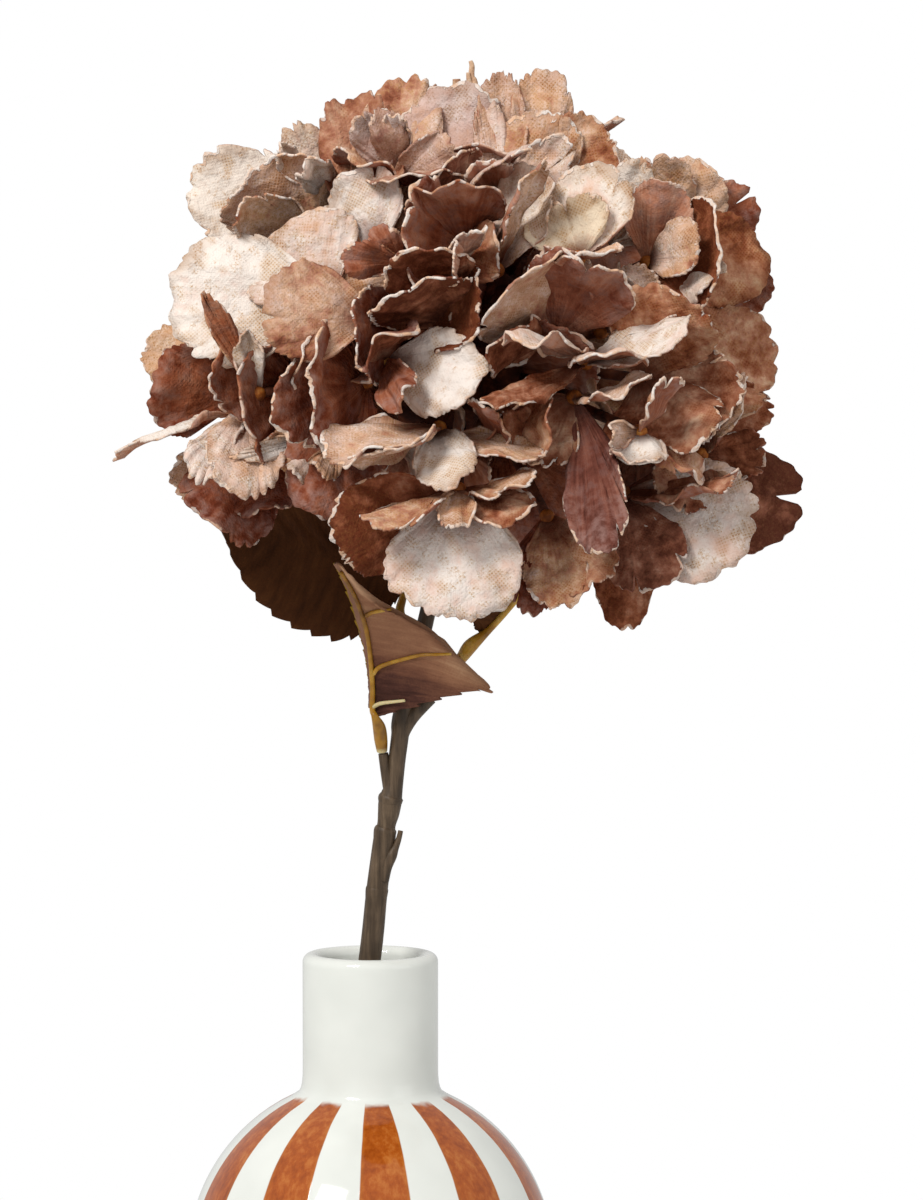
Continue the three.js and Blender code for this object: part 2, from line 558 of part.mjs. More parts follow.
// A point of a petal: s runs from its root to its edge, v from -1 to 1 around the edge.
function petalPoint(frame, k, s, v, edge) {
  const { root, along, normal, across, length, width, bend, cup } = frame;
  const reach = rad(PETAL_SWEEP) * v;
  const half = (width / 2) * Math.sign(Math.sin(reach)) * Math.abs(Math.sin(reach)) ** 0.85 * edge;
  const x = s * half;
  const y = s * length * (0.6 + 0.4 * Math.cos(reach)) * edge;
  const phi = (y / length - 0.5) * bend;
  const forward = (length / bend) * (Math.sin(phi) + Math.sin(bend / 2));
  const out = (-length / bend) * (Math.cos(phi) - Math.cos(bend / 2));
  const psi = (x / (width / 2)) * (cup / 2) * (0.3 + (0.7 * y) / length);
  const sideways = Math.abs(psi) > 1e-6 ? (x * Math.sin(psi)) / psi : x;
  const rise = (width / cup) * (1 - Math.cos(psi));
  const waves = 1.5 + 2 * draw(k, 3);
  const ruffle = (0.4 + 1.3 * draw(k, 4)) * s ** 2 * Math.sin(Math.PI * waves * v + phase(k, 5));
  const height = rise + ruffle;
  const twist = rad(-14 + 28 * draw(k, 9)) * (y / length - 0.5);
  const lateral = sideways * Math.cos(twist) - height * Math.sin(twist);
  const lift = sideways * Math.sin(twist) + height * Math.cos(twist);
  return root.clone()
    .addScaledVector(across, lateral)
    .addScaledVector(along, forward - lift * Math.sin(phi))
    .addScaledVector(normal, out + lift * Math.cos(phi));
}

function petalGeometry(root, [end, width, face, bend, cup], k) {
  const along = end.clone().sub(root);
  const chord = along.length();
  along.normalize();
  const normal = vec(face);
  normal.addScaledVector(along, -normal.dot(along)).normalize();
  const arch = rad(Math.abs(bend) > 2 ? bend : 2);
  const frame = {
    root, along, normal, across: along.clone().cross(normal), width, bend: arch,
    cup: rad(Math.abs(cup) > 2 ? cup : 2), length: (chord * (arch / 2)) / Math.sin(arch / 2),
  };
  const row = (s, steps, notch) => Array.from({ length: steps + 1 }, (_, j) => (
    petalPoint(frame, k, s, (2 * j) / steps - 1, j % 2 ? 1 : 1 - notch)));
  if (width < LARGE_PETAL) return blade([[root], row(1, SMALL_SEGMENTS, NOTCH)], PETAL_THICKNESS);
  const inner = row(MIDDLE_RING, LARGE_SEGMENTS / 2, 0);
  return blade([[root], inner, row(1, LARGE_SEGMENTS, NOTCH)], PETAL_THICKNESS);
}

function headGeometry() {
  const middle = vec(HEAD_MIDDLE);
  const core = new THREE.IcosahedronGeometry(1, 1).scale(...CORE_RADII).translate(...HEAD_MIDDLE);
  const hub = limb([[18.1, -13.6, 226.65], [18.8, -13.8, 236], [20, -14, 252]], [4, 4.5, 9], 8);
  const twig = [[24, -30, 318], [27, -22, 345], [26.4, -21, 350], [26, -21, 354.6]];
  const sprig = limb(twig, [1.6, 0.8, 0.7, 0.5], 5);
  const bodies = [solid(core), solid(hub), solid(sprig)];
  const addStalk = (centre, bead) => {
    const knob = new THREE.OctahedronGeometry(BEAD_RADIUS).translate(bead.x, bead.y, bead.z);
    const base = centre.clone().sub(middle).multiplyScalar(0.5).add(middle);
    bodies.push(solid(knob), solid(limb([base, bead], [STALK_RADIUS, STALK_RADIUS], 4)));
  };
  let k = 0;
  for (const [centre, petals] of FRONT_FLORETS) {
    const root = seen(centre);
    addStalk(root, root);
    for (const [end, ...rest] of petals) bodies.push(solid(petalGeometry(root, [seen(end), ...rest], k++)));
  }
  for (const floret of backFlorets()) {
    addStalk(floret.middle, floretPoint(floret, 0, 0));
    bodies.push(solid(floretGeometry(floret)));
  }
  return shape(fuse(bodies).asOriginal().simplify(HEAD_FINENESS));
}

// Assembly
const group = new THREE.Group();
group.name = "hydrangea_in_vase";

function add(name, geometry, color, roughness) {
  const mesh = new THREE.Mesh(geometry, new THREE.MeshStandardMaterial({ color, roughness, metalness: 0 }));
  mesh.name = name;
  group.add(mesh);
}

add("vase", vaseGeometry(), "#ecede8", 0.15);
add("stem", stemGeometry(), "#5a4b3c", 0.6);
for (const [name, leaf] of Object.entries(LEAVES)) {
  add(name, leafGeometry(leaf), name === "front_leaf" ? "#7a5a48" : "#3f2412", 0.9);
  add(`${name}_rib`, ribGeometry(leaf), "#c48a1e", 0.5);
}
add("hydrangea_head", headGeometry(), "#a87864", 0.95);

export default group;
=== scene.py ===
import math

import bpy
import numpy as np
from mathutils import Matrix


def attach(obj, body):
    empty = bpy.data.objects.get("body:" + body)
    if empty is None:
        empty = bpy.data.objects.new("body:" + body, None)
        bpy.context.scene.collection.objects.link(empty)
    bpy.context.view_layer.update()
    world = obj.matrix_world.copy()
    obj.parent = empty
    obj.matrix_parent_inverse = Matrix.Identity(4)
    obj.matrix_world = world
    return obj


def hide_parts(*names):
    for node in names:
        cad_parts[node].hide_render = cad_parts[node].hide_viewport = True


# The part is a hydrangea head and three leaves on a plastic stem, in a glazed vase.
# Points are listed in millimetres, as in the frame, and MM makes them metres.
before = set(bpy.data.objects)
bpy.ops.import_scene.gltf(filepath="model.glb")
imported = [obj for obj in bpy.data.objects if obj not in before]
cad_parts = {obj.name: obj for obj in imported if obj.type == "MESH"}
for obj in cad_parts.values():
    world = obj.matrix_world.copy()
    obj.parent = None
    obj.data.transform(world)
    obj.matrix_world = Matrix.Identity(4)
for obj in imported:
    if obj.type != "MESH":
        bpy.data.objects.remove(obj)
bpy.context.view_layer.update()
MM = 0.001

HEAD_MIDDLE = np.array([24.0, -14.0, 278.0])
CORE_RADII = np.array([35.0, 29.0, 31.0])
EYE = np.array([23.8, -1596.0, 325.9])
VIEW_MIDDLE = np.array([23.8, 0.0, 214.3])
VIEW_HEIGHT = 312.0


def seen(p):
    """A listed point, whose x and z are as they look from the eye, at its true depth."""
    p = np.asarray(p, float)
    share = p[1] / EYE[1]
    return np.array([p[0] + (EYE[0] - p[0]) * share, p[1], p[2] + (EYE[2] - p[2]) * share])


def unseen(p):
    """The listed point whose true place is p."""
    share = p[1] / EYE[1]
    return [(p[0] - EYE[0] * share) / (1 - share), p[1], (p[2] - EYE[2] * share) / (1 - share)]


def draw(k, n):
    """A repeatable number from 0 to 1, draw n of piece k."""
    x = math.sin(k * 12.9898 + n * 78.233) * 43758.5453
    return x - math.floor(x)


def phase(k, n):
    """A random angle, draw n of petal k."""
    return 2 * math.pi * draw(k, n)


def unit(v):
    v = np.asarray(v, float)
    return v / np.linalg.norm(v)


def ramped(s, start):
    """0 up to the start, and from there evenly up to 1."""
    return np.clip((s - start) / (1 - start), 0, 1)


# Mesh helpers
def make_object(name, points, faces, material, attributes):
    mesh = bpy.data.meshes.new(name)
    mesh.from_pydata((np.asarray(points) * MM).tolist(), [], faces)
    mesh.polygons.foreach_set("use_smooth", [True] * len(mesh.polygons))
    for key, values in attributes.items():
        kind, field = ("FLOAT_VECTOR", "vector") if values.ndim == 2 else ("FLOAT", "value")
        layer = mesh.attributes.new(key, kind, "POINT")
        layer.data.foreach_set(field, values.ravel().astype(np.float32))
    mesh.materials.append(material)
    mesh.update()
    piece = bpy.data.objects.new(name, mesh)
    bpy.context.scene.collection.objects.link(piece)
    return piece


def stand_for(piece, node):
    """Makes a piece take a CAD node's place: hides the node and hangs the piece under the root."""
    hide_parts(node)
    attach(piece, "root")


class Pile:
    """Collects sheets and limbs into one mesh."""

    def __init__(self):
        self.points = []
        self.faces = []
        self.attributes = {}
        self.count = 0

    def add(self, points, faces, **attributes):
        self.faces.extend([tuple(n + self.count for n in face) for face in faces])
        self.points.append(points)
        self.count += len(points)
        for key, values in attributes.items():
            self.attributes.setdefault(key, []).append(values)

    def build(self, name, material):
        joined = {key: np.concatenate(values) for key, values in self.attributes.items()}
        return make_object(name, np.concatenate(self.points), self.faces, material, joined)


def grid_normals(p, loop=False):
    if loop:
        across = np.roll(p, -1, axis=1) - np.roll(p, 1, axis=1)
    else:
        across = np.gradient(p, axis=1)
    normals = np.cross(across, np.gradient(p, axis=0))
    return normals / np.maximum(np.linalg.norm(normals, axis=2, keepdims=True), 1e-9)


def ring_faces(count, sides):
    """The faces between rings of points that follow each other."""
    faces = []
    for i in range(count - 1):
        for j in range(sides):
            a, b = i * sides + j, i * sides + (j + 1) % sides
            faces.append((a, b, b + sides, a + sides))
    return faces


def sheet_faces(rows, columns, loop):
    """Both faces of a thickened grid, and the wall around its free edges."""
    back = rows * columns
    last = back - columns
    faces = []
    for a, b, c, d in ring_faces(rows, columns):
        if loop or b > a:
            faces.append((a, b, c, d))
            faces.append((back + a, back + d, back + c, back + b))
    if loop:
        edges = [(last + (j + 1) % columns, last + j) for j in range(columns)]
        edges += [(j, (j + 1) % columns) for j in range(columns)]
    else:
        ring = [i * columns for i in range(rows)] + [last + j for j in range(1, columns)]
        ring += [i * columns + columns - 1 for i in range(rows - 2, -1, -1)]
        ring += list(range(columns - 2, 0, -1))
        edges = [(b, a) for a, b in zip(ring, ring[1:] + ring[:1])]
    return faces + [(b, a, back + a, back + b) for a, b in edges]


def thicken(p, thickness, loop=False):
    normals = grid_normals(p, loop)
    half = (thickness / 2)[..., None]
    return np.concatenate([(p + normals * half).reshape(-1, 3), (p - normals * half).reshape(-1, 3)])


def limb(points, radii, sides, steps=6):
    """Points and faces of a smooth round limb, with its own radius at each listed point."""
    listed = np.array([seen(p) for p in points])
    places = np.linspace(0, len(listed) - 1, (len(listed) - 1) * steps + 1)
    path = np.array([spline(listed, t) for t in places])
    size = np.array([spline(np.array(radii)[:, None], t)[0] for t in places])
    along = np.gradient(path, axis=0)
    along /= np.linalg.norm(along, axis=1, keepdims=True)
    across = np.array([0.0, 1.0, 0.0])
    rings = []
    for p, r, a in zip(path, size, along):
        across = unit(across - a * np.dot(across, a))
        other = np.cross(a, across)
        turn = np.linspace(0, 2 * math.pi, sides, endpoint=False)[:, None]
        rings.append(p + r * (across * np.cos(turn) + other * np.sin(turn)))
    faces = ring_faces(len(rings), sides)
    faces.append(tuple(range(sides - 1, -1, -1)))
    faces.append(tuple((len(rings) - 1) * sides + j for j in range(sides)))
    return np.concatenate(rings), faces


def spline(listed, t):
    """A smooth curve through the listed values, at place t."""
    i = min(int(t), len(listed) - 2)
    f = t - i
    a, b = listed[max(i - 1, 0)], listed[i]
    c, d = listed[i + 1], listed[min(i + 2, len(listed) - 1)]
    bend = (2 * a - 5 * b + 4 * c - d) * f ** 2
    return 0.5 * (2 * b + (c - a) * f + bend + (3 * b - a - 3 * c + d) * f ** 3)


# The florets of the front: middle, then petals as end, width, way the pale face looks, bend, cup, tone, rim.
FRONT_FLORETS = [
    [[23, -68, 243],
     ([21, -80, 208], 36, [0, -1, 0.15], -20, -25, 1.1, 0.6),
     ([-10, -77, 227], 27, [-0.15, -1, -0.3], 20, 25, 0.15, 0.7),
     ([-1, -86, 232], 17, [-0.1, -0.25, 1], -15, 25, 0.55, 1.0),
     ([43, -80, 246], 17, [0.1, -0.45, 1], 25, 20, 0.35, 1.0),
     ([41, -82, 236], 18, [0, -0.6, 1], 20, 20, 0.35, 0.9),
     ([22, -86, 232], 10, [0, -1, 0.8], -35, 20, 0.55, 0.9)],
    [[18, -60, 259],
     ([-10, -84, 250], 27, [-0.3, -0.5, 0.85], -35, 35, 0.2, 1.0),
     ([-4, -87, 251], 20, [0.1, -0.4, -0.9], -20, 25, 0.15, 1.0),
     ([21, -84, 243], 17, [-0.1, -1, 0.1], -15, -15, 1.0, 0.6),
     ([46, -76, 251], 14, [0, -0.4, 1], 10, 10, 0.15, 0.6)],
    [[4, -58, 276],
     ([29, -78, 271], 24, [0.05, -1, 0.1], -10, 20, 0.95, 0.6),
     ([9, -82, 265], 12, [0.3, 1, 0], 25, 20, 0.05, 0.6),
     ([6, -80, 283], 20, [0.6, 0.1, -0.9], 30, 40, 0.1, 0.8)],
    [[-1, -52, 271],
     ([-15, -80, 268], 36, [-0.75, 0.6, 0], -25, -25, 0.15, 1.0),
     ([-24, -77, 263], 25, [-0.75, 0.6, 0], -30, -25, 0.15, 1.0),
     ([-20, -72, 278], 22, [-0.8, 0.5, 0.2], -20, -20, 0.1, 0.8),
     ([-16, -64, 236], 25, [0.1, 1, 0.2], 20, 25, 0.25, 0.2)],
    [[-16, -44, 266],
     ([-34, -71, 265], 32, [-0.5, 0.8, 0], -25, -25, 0.15, 0.5),
     ([-41, -63, 277], 24, [-0.4, 0.9, 0], -25, -20, 0.2, 0.4)],
    [[-32, -44, 264],
     ([-46, -68, 245], 12, [-0.4, -1, 0.2], -20, 40, 1.0, 0.8),
     ([-34, -74, 241], 21, [0.2, -1, 0.2], -30, -30, 0.75, 0.8),
     ([-68, -54, 250], 13, [0.05, 0.1, 1], -25, -40, 1.15, 0.9)],
    [[-34, -36, 268],
     ([-58, -44, 270], 25, [0.2, 1, 0.1], 20, -20, 0.2, 0.3),
     ([-58, -30, 283], 20, [-0.2, -1, 0.2], -20, 20, 0.6, 0.4)],
    [[-28, -38, 252],
     ([-42, -52, 232], 27, [0.1, 1, 0.2], -25, 30, 0.15, 0.2),
     ([-26, -54, 236], 20, [0.1, 1, 0.2], -20, 20, 0.1, 0.3),
     ([-52, -42, 243], 16, [0, -1, 0.2], -20, 20, 0.8, 0.5)],
    [[2, -66, 288],
     ([-29, -72, 291], 27, [-0.15, -1, 0.3], 15, -10, 0.4, 0.1)],
    [[-10, -61, 293],
     ([-54, -54, 293], 36, [-0.2, -1, 0.3], 25, 20, 1.0, 0.8),
     ([-24, -52, 311], 34, [-0.3, -1, 0.4], 15, 10, 0.8, 0.6),
     ([2, -54, 310], 22, [-0.2, -1, 0.3], 10, 15, 0.4, 0.5)],
    [[-14, -36, 307],
     ([-46, -28, 327], 28, [-0.2, -1, 0.1], 25, 25, 0.85, 0.6),
     ([-30, -48, 327], 34, [0.1, -0.9, -0.5], 40, 50, 0.2, 1.0),
     ([-35, -56, 316], 17, [0.1, -0.9, -0.35], 30, 50, 0.4, 0.8),
     ([-12, -32, 338], 21, [0, -1, 0.2], 15, -15, 0.6, 0.2)],
    [[2, -56, 305],
     ([-4, -52, 327], 22, [-0.4, -1, 0.3], 15, 20, 0.75, 0.9),
     ([-5, -34, 348], 22, [0, -1, -0.2], 15, -15, 0.2, 0.1),
     ([11, -30, 351], 23, [0, -1, 0.1], 15, 20, 0.45, 0.2)],
    [[6, -38, 320],
     ([-6, -56, 330], 20, [-0.1, -0.5, 1], -15, 20, 0.4, 0.8),
     ([17, -62, 325], 27, [0.1, -0.4, 1], -20, 15, 0.3, 1.0),
     ([23, -56, 334], 13, [0.1, -1, 0.1], -20, 15, 0.6, 0.3)],
    [[24, -40, 318],
     ([20, -36, 349], 29, [-0.1, -1, 0.2], 20, 20, 0.75, 0.7),
     ([18, -60, 325], 24, [0.2, -0.95, -0.1], 30, 30, 0.05, 0.8),
     ([40, -64, 331], 20, [-0.2, -0.4, 1], -20, 20, 0.7, 1.0)],
    [[46, -42, 318],
     ([43, -40, 342], 22, [-0.1, -1, 0.3], 20, 30, 0.6, 0.9),
     ([44, -34, 353], 17, [0.1, -1, 0.1], 10, 10, 0.7, 0.2),
     ([60, -40, 339], 22, [0.3, -0.9, 0.4], 15, 10, 0.35, 0.7),
     ([68, -34, 330], 14, [0.3, -0.9, 0.3], 10, 10, 0.75, 0.4)],
    [[25, -50, 306],
     ([9, -75, 308], 35, [-0.8, 0.45, 0], -25, -30, 0.2, 1.0),
     ([20, -74, 323], 26, [0.1, 1, 0.2], -20, -20, 0.1, 0.3)],
    [[10, -52, 285],
     ([-5, -77, 282], 26, [-0.75, 0.55, 0], -25, -25, 0.15, 0.9),
     ([29, -76, 294], 25, [-0.8, -0.4, 0.3], 30, 40, 0.15, 0.9)],
    [[24, -56, 286],
     ([10, -80, 305], 24, [0.4, -0.35, -0.9], 30, 35, 0.1, 1.0),
     ([7, -83, 294], 28, [0.4, -0.3, -0.9], 30, 30, 0.2, 1.0)],
    [[33, -58, 300],
     ([43, -58, 328], 19, [-0.5, -0.9, 0.3], 20, 20, 0.8, 0.5),
     ([46, -74, 330], 11, [0.8, -0.6, 0.2], 20, 20, 0.5, 0.8)],
    [[48, -54, 282],
     ([40, -80, 300], 36, [0.5, -0.7, -0.5], 45, 45, 0.2, 1.0),
     ([59, -78, 303], 29, [0, 1, 0.3], -30, -30, 0.25, 0.8),
     ([30, -74, 278], 18, [0.6, -0.5, -0.6], 20, 20, 0.15, 0.8)],
    [[56, -58, 276],
     ([37, -86, 282], 17, [0, -0.1, 1], -30, 10, 0.8, 1.0),
     ([84, -75, 285], 20, [0.05, -0.7, 0.8], -10, 15, 1.0, 0.7),
     ([66, -84, 277], 20, [0, -0.3, 1], -20, 20, 0.7, 1.0),
     ([29, -82, 265], 11, [0, -0.5, 1], 15, 15, 0.6, 0.8)],
    [[53, -60, 267],
     ([71, -84, 272], 16, [-0.2, -0.25, 1], 20, 25, 0.55, 1.0),
     ([60, -88, 226], 17, [0.3, 1, 0.1], -35, -25, 0.05, 0.9),
     ([37, -66, 253], 24, [0, -1, 0.3], 20, 35, 0.4, 0.9)],
    [[70, -54, 272],
     ([80, -77, 252], 33, [0, -1, 0.2], 20, 30, 0.25, 1.0),
     ([96, -66, 264], 26, [-0.1, -1, 0.25], 20, 30, 0.25, 0.9),
     ([80, -70, 295], 30, [0, -1, 0.1], 15, 25, 0.45, 0.6),
     ([106, -37, 280], 32, [-0.1, -1, 0.1], 20, 15, 0.45, 0.3),
     ([106, -36, 261], 16, [-0.1, -1, 0.1], 15, 20, 0.25, 0.2)],
    [[66, -48, 242],
     ([100, -60, 229], 34, [0, -1, 0.25], -15, 20, 0.9, 0.5),
     ([75, -66, 216], 22, [0, -1, 0.1], -10, -20, 0.4, 0.3),
     ([113, -38, 240], 30, [-0.1, -1, 0.1], -15, 20, 0.05, 0.1),
     ([97, -74, 246], 13, [0, -0.6, 0.9], 15, 30, 0.35, 0.5),
     ([66, -58, 206], 16, [0, -1, 0.1], -10, -15, 0.3, 0.2)],
    [[46, -50, 236],
     ([60, -70, 217], 19, [0, -1, 0.1], 20, -20, 0.4, 0.1),
     ([41, -66, 210], 14, [0.1, 1, 0.1], 15, 20, 0.1, 0.2),
     ([50, -70, 211], 17, [0, -1, 0.1], -10, 15, 0.6, 0.7)],
    [[54, -64, 303],
     ([60, -54, 328], 22, [-0.2, -1, 0.3], 15, -15, 0.5, 0.8),
     ([49, -59, 319], 23, [-0.3, -1, 0.4], 15, -15, 1.0, 0.5),
     ([58, -75, 304], 20, [0, -0.5, 1], 20, 20, 0.5, 0.8)],
    [[72, -46, 302],
     ([86, -64, 308], 16, [-0.1, -1, 0.4], -15, 20, 0.65, 0.7),
     ([77, -52, 324], 18, [0, 1, 0.1], 15, -15, 0.6, 0.3),
     ([92, -61, 306], 31, [-0.7, -0.5, 0.2], 25, 30, 0.2, 1.0),
     ([104, -32, 303], 25, [0.1, -1, 0.1], -10, -20, 0.5, 0.2),
     ([90, -62, 297], 19, [-0.2, -0.9, 0.4], 20, 20, 1.1, 0.7)],
    [[76, -24, 306],
     ([101, -22, 318], 20, [0.1, 1, 0.1], 10, -20, 0.05, 0.1),
     ([88, -26, 328], 20, [0, -1, 0.2], 10, -15, 0.6, 0.3),
     ([74, -30, 331], 20, [0, -1, 0.2], 10, -15, 0.4, 0.2),
     ([104, -22, 291], 22, [0.1, 1, 0.1], 10, -20, 0.05, 0.1)],
]

# Small petals between the larger ones, in the same form.
SMALL_FLORETS = [
    [[8, -42, 324],
     ([-4, -52, 340], 10, [-0.1, -1, 0.1], 15, 20, 0.75, 0.4),
     ([3, -54, 342], 10, [0, -1, -0.1], -15, 15, 0.5, 0.3),
     ([6, -56, 341], 8, [-0.2, -1, 0.2], 30, 40, 1.0, 0.8)],
    [[-10, -36, 320],
     ([-21, -38, 338], 13, [0, -1, 0.1], -15, 15, 0.2, 0.2),
     ([-25, -48, 332], 8, [0, -1, 0.4], 30, 30, 1.0, 1.0),
     ([-16, -58, 327], 10, [0.2, -0.9, -0.3], 20, 20, 0.4, 0.8)],
    [[34, -44, 316],
     ([30, -60, 328], 14, [-0.2, -0.4, 1], -20, 20, 0.8, 1.0),
     ([52, -46, 334], 13, [-0.1, -1, 0.2], 20, 25, 0.8, 0.8),
     ([30, -38, 345], 9, [0, -1, 0.1], 10, 20, 0.7, 0.3),
     ([34, -36, 352], 14, [0, -1, 0.1], 10, 10, 0.6, 0.2)],
    [[60, -50, 284],
     ([67, -62, 299], 14, [-0.3, -0.9, 0.4], 20, 20, 0.95, 0.6),
     ([73, -54, 301], 14, [-0.1, -1, 0.3], 15, 15, 1.0, 0.6),
     ([46, -70, 307], 13, [0.5, 0.8, 0.1], 20, 20, 0.15, 0.6)],
    [[60, -44, 306],
     ([70, -46, 322], 13, [0.2, -0.9, 0.3], 20, 30, 0.6, 0.7),
     ([71, -46, 329], 12, [0.1, -1, 0.2], 15, 20, 0.8, 0.7),
     ([80, -46, 320], 12, [0.3, -0.9, 0.2], 15, 20, 0.35, 0.4)],
    [[70, -70, 258],
     ([70, -82, 250], 15, [0, -1, -0.1], 25, -30, 1.0, 0.5),
     ([61, -84, 257], 7, [0.7, -0.7, 0], 10, 10, 0.7, 0.9),
     ([78, -84, 273], 11, [-0.2, -0.3, 1], 20, 20, 0.6, 1.0),
     ([88, -72, 246], 12, [0, -0.4, 1], 15, 25, 0.45, 0.6)],
    [[-8, -48, 258],
     ([-13, -70, 246], 9, [0, -1, 0.2], -15, 20, 0.6, 0.5),
     ([-28, -62, 251], 12, [0, -1, 0.2], -15, 20, 0.5, 0.3),
     ([-36, -68, 251], 6, [0.9, -0.4, 0], -10, 10, 0.95, 1.0),
     ([-20, -64, 245], 12, [0, -1, 0.2], -20, -20, 0.9, 0.8)],
    [[20, -58, 300],
     ([28, -78, 312], 11, [-0.1, -0.4, 1], 10, 10, 0.95, 1.0),
     ([23, -81, 303], 12, [-0.7, -0.6, 0.2], 25, 30, 0.95, 1.0),
     ([34, -66, 309], 18, [-0.6, -0.6, 0.3], 30, 30, 0.3, 0.7)],
    [[8, -62, 302],
     ([-8, -72, 303], 10, [0, 1, 0.1], 15, 15, 0.2, 0.6),
     ([1, -66, 311], 9, [0, 1, 0.1], 15, 15, 0.3, 0.6)],
    [[-29, -60, 268],
     ([-44, -67, 296], 6.5, [-0.3, 0.9, 0.3], -10, 50, 0.3, 0.3),
     ([-33, -68, 284], 8, [0.2, -1, 0], 15, 20, 1.0, 0.6)],
    [[34, -56, 256],
     ([48, -74, 262], 20, [-0.5, -0.8, 0.3], 20, 30, 0.35, 0.7),
     ([30, -76, 266], 14, [0.3, -0.6, 0.8], 20, 20, 0.3, 0.7)],
    [[86, -46, 252],
     ([104, -48, 252], 14, [0, -1, 0.4], 15, 20, 0.2, 0.3),
     ([78, -58, 238], 18, [0.1, -1, 0.2], 15, 20, 0.3, 0.3),
     ([97, -54, 274], 9, [-0.6, -0.7, 0.2], 15, 20, 0.7, 0.8)],
]


# Materials
def srgb(code):
    """A hex colour as linear RGBA."""
    parts = [int(code[n:n + 2], 16) / 255 for n in (1, 3, 5)]
    return tuple(c / 12.92 if c <= 0.04045 else ((c + 0.055) / 1.055) ** 2.4 for c in parts) + (1.0,)


class Paint:
    """A material and short calls that add its nodes."""

    def __init__(self, name, roughness, **settings):
        self.material = bpy.data.materials.new(name)
        self.material.use_nodes = True
        self.tree = self.material.node_tree
        self.shader = self.tree.nodes["Principled BSDF"]
        self.shader.inputs["Roughness"].default_value = roughness
        for key, value in settings.items():
            self.shader.inputs[key.replace("_", " ")].default_value = value

    def node(self, kind, sockets, **properties):
        node = self.tree.nodes.new(kind)
        for key, value in properties.items():
            setattr(node, key, value)
        for key, value in sockets.items():
            if isinstance(value, bpy.types.NodeSocket):
                self.tree.links.new(value, node.inputs[key])
            else:
                node.inputs[key].default_value = value
        return node

    def math(self, operation, *values, clamp=False):
        node = self.node("ShaderNodeMath", dict(enumerate(values)), operation=operation, use_clamp=clamp)
        return node.outputs[0]

    def times(self, a, b):
        return self.math("MULTIPLY", a, b)

    def add(self, value, weight, rest, clamp=False):
        """The rest plus the value times its weight."""
        return self.math("MULTIPLY_ADD", value, weight, rest, clamp=clamp)

    def sway(self, noise, weight, rest, clamp=False):
        """The rest, moved up and down by a noise whose middle is 0.5."""
        return self.add(self.math("SUBTRACT", noise, 0.5), weight, rest, clamp)

    def step(self, value, low, high, start=0.0, end=1.0):
        """Goes smoothly from start to end as value goes from low to high."""
        sockets = {"Value": value, "From Min": low, "From Max": high, "To Min": start, "To Max": end}
        return self.node("ShaderNodeMapRange", sockets, interpolation_type="SMOOTHSTEP").outputs["Result"]

    def mix(self, factor, a, b, blend="MIX"):
        """Mixes b over a, where each is a socket or a hex colour."""
        a, b = [srgb(colour) if isinstance(colour, str) else colour for colour in (a, b)]
        node = self.node("ShaderNodeMix", {0: factor, 6: a, 7: b}, data_type="RGBA", blend_type=blend)
        return node.outputs[2]

    def ramp(self, value, stops):
        node = self.node("ShaderNodeValToRGB", {"Fac": value})
        elements = node.color_ramp.elements
        while len(elements) < len(stops):
            elements.new(0.5)
        for element, (position, code) in zip(elements, stops):
            element.position = position
            element.color = srgb(code)
        return node.outputs["Color"]

    def attribute(self, name, output="Vector"):
        return self.node("ShaderNodeAttribute", {}, attribute_name=name).outputs[output]

    def coordinates(self):
        return self.node("ShaderNodeTexCoord", {}).outputs["Object"]

    def split(self, vector):
        return self.node("ShaderNodeSeparateXYZ", {0: vector}).outputs

    def place(self, vector, scale):
        return self.node("ShaderNodeMapping", {"Vector": vector, "Scale": scale}).outputs[0]

    def noise(self, vector, scale, detail=3.0, roughness=0.55):
        sockets = {"Vector": vector, "Scale": scale, "Detail": detail, "Roughness": roughness}
        return self.node("ShaderNodeTexNoise", sockets).outputs[0]

    def colour(self, value):
        self.tree.links.new(value, self.shader.inputs["Base Color"])

    def bump(self, height, distance, strength):
        node = self.node("ShaderNodeBump", {"Height": height, "Distance": distance, "Strength": strength})
        self.tree.links.new(node.outputs[0], self.shader.inputs["Normal"])


class PetalPaint(Paint):
    """The paint of the petals, with the values that its parts share."""

    def __init__(self):
        super().__init__("petal fabric", 0.88, Specular_IOR_Level=0.12)
        self.tone, self.side, self.rim = self.split(self.attribute("skin"))
        self.reach, _, self.from_edge = self.split(self.attribute("ring"))
        self.local = self.attribute("place")
        self.broad = self.noise(self.local, 0.07)
        self.mottle = self.noise(self.local, 0.3, 4.0, 0.62)
        self.grain = self.noise(self.local, 1.5, 3.0, 0.6)
        self.rays = self.noise(self.attribute("ray"), 1.0, 4.0, 0.6)
        self.weave = threads(self)


def threads(p):
    """A woven pattern along both diagonals."""
    turned = p.node("ShaderNodeMapping", {"Vector": p.local, "Rotation": (0.0, 0.0, math.pi / 2)})
    waves = []
    for vector in (p.local, turned.outputs[0]):
        wave = p.node("ShaderNodeTexWave", {"Vector": vector, "Scale": THREAD_SCALE, "Distortion": 0.8},
                      wave_type="BANDS", bands_direction="DIAGONAL")
        waves.append(wave.outputs[1])
    return p.times(*waves)


def worn(p):
    """Where the pale print is worn down to rust threads."""
    stipple = p.noise(p.local, 4.5, 2.0, 0.7)
    patchy = p.add(p.tone, -0.25, p.math("ADD", p.mottle, 0.24))
    bare = p.times(p.step(p.grain, 0.4, 0.58), p.step(patchy, 0.48, 0.6))
    bare = p.times(bare, p.add(p.weave, 0.55, 0.45))
    bare = p.times(bare, p.step(stipple, 0.36, 0.54, 0.25, 1.0))
    return p.times(bare, p.step(p.tone, 0.2, 0.6, 0.15, 1.0))


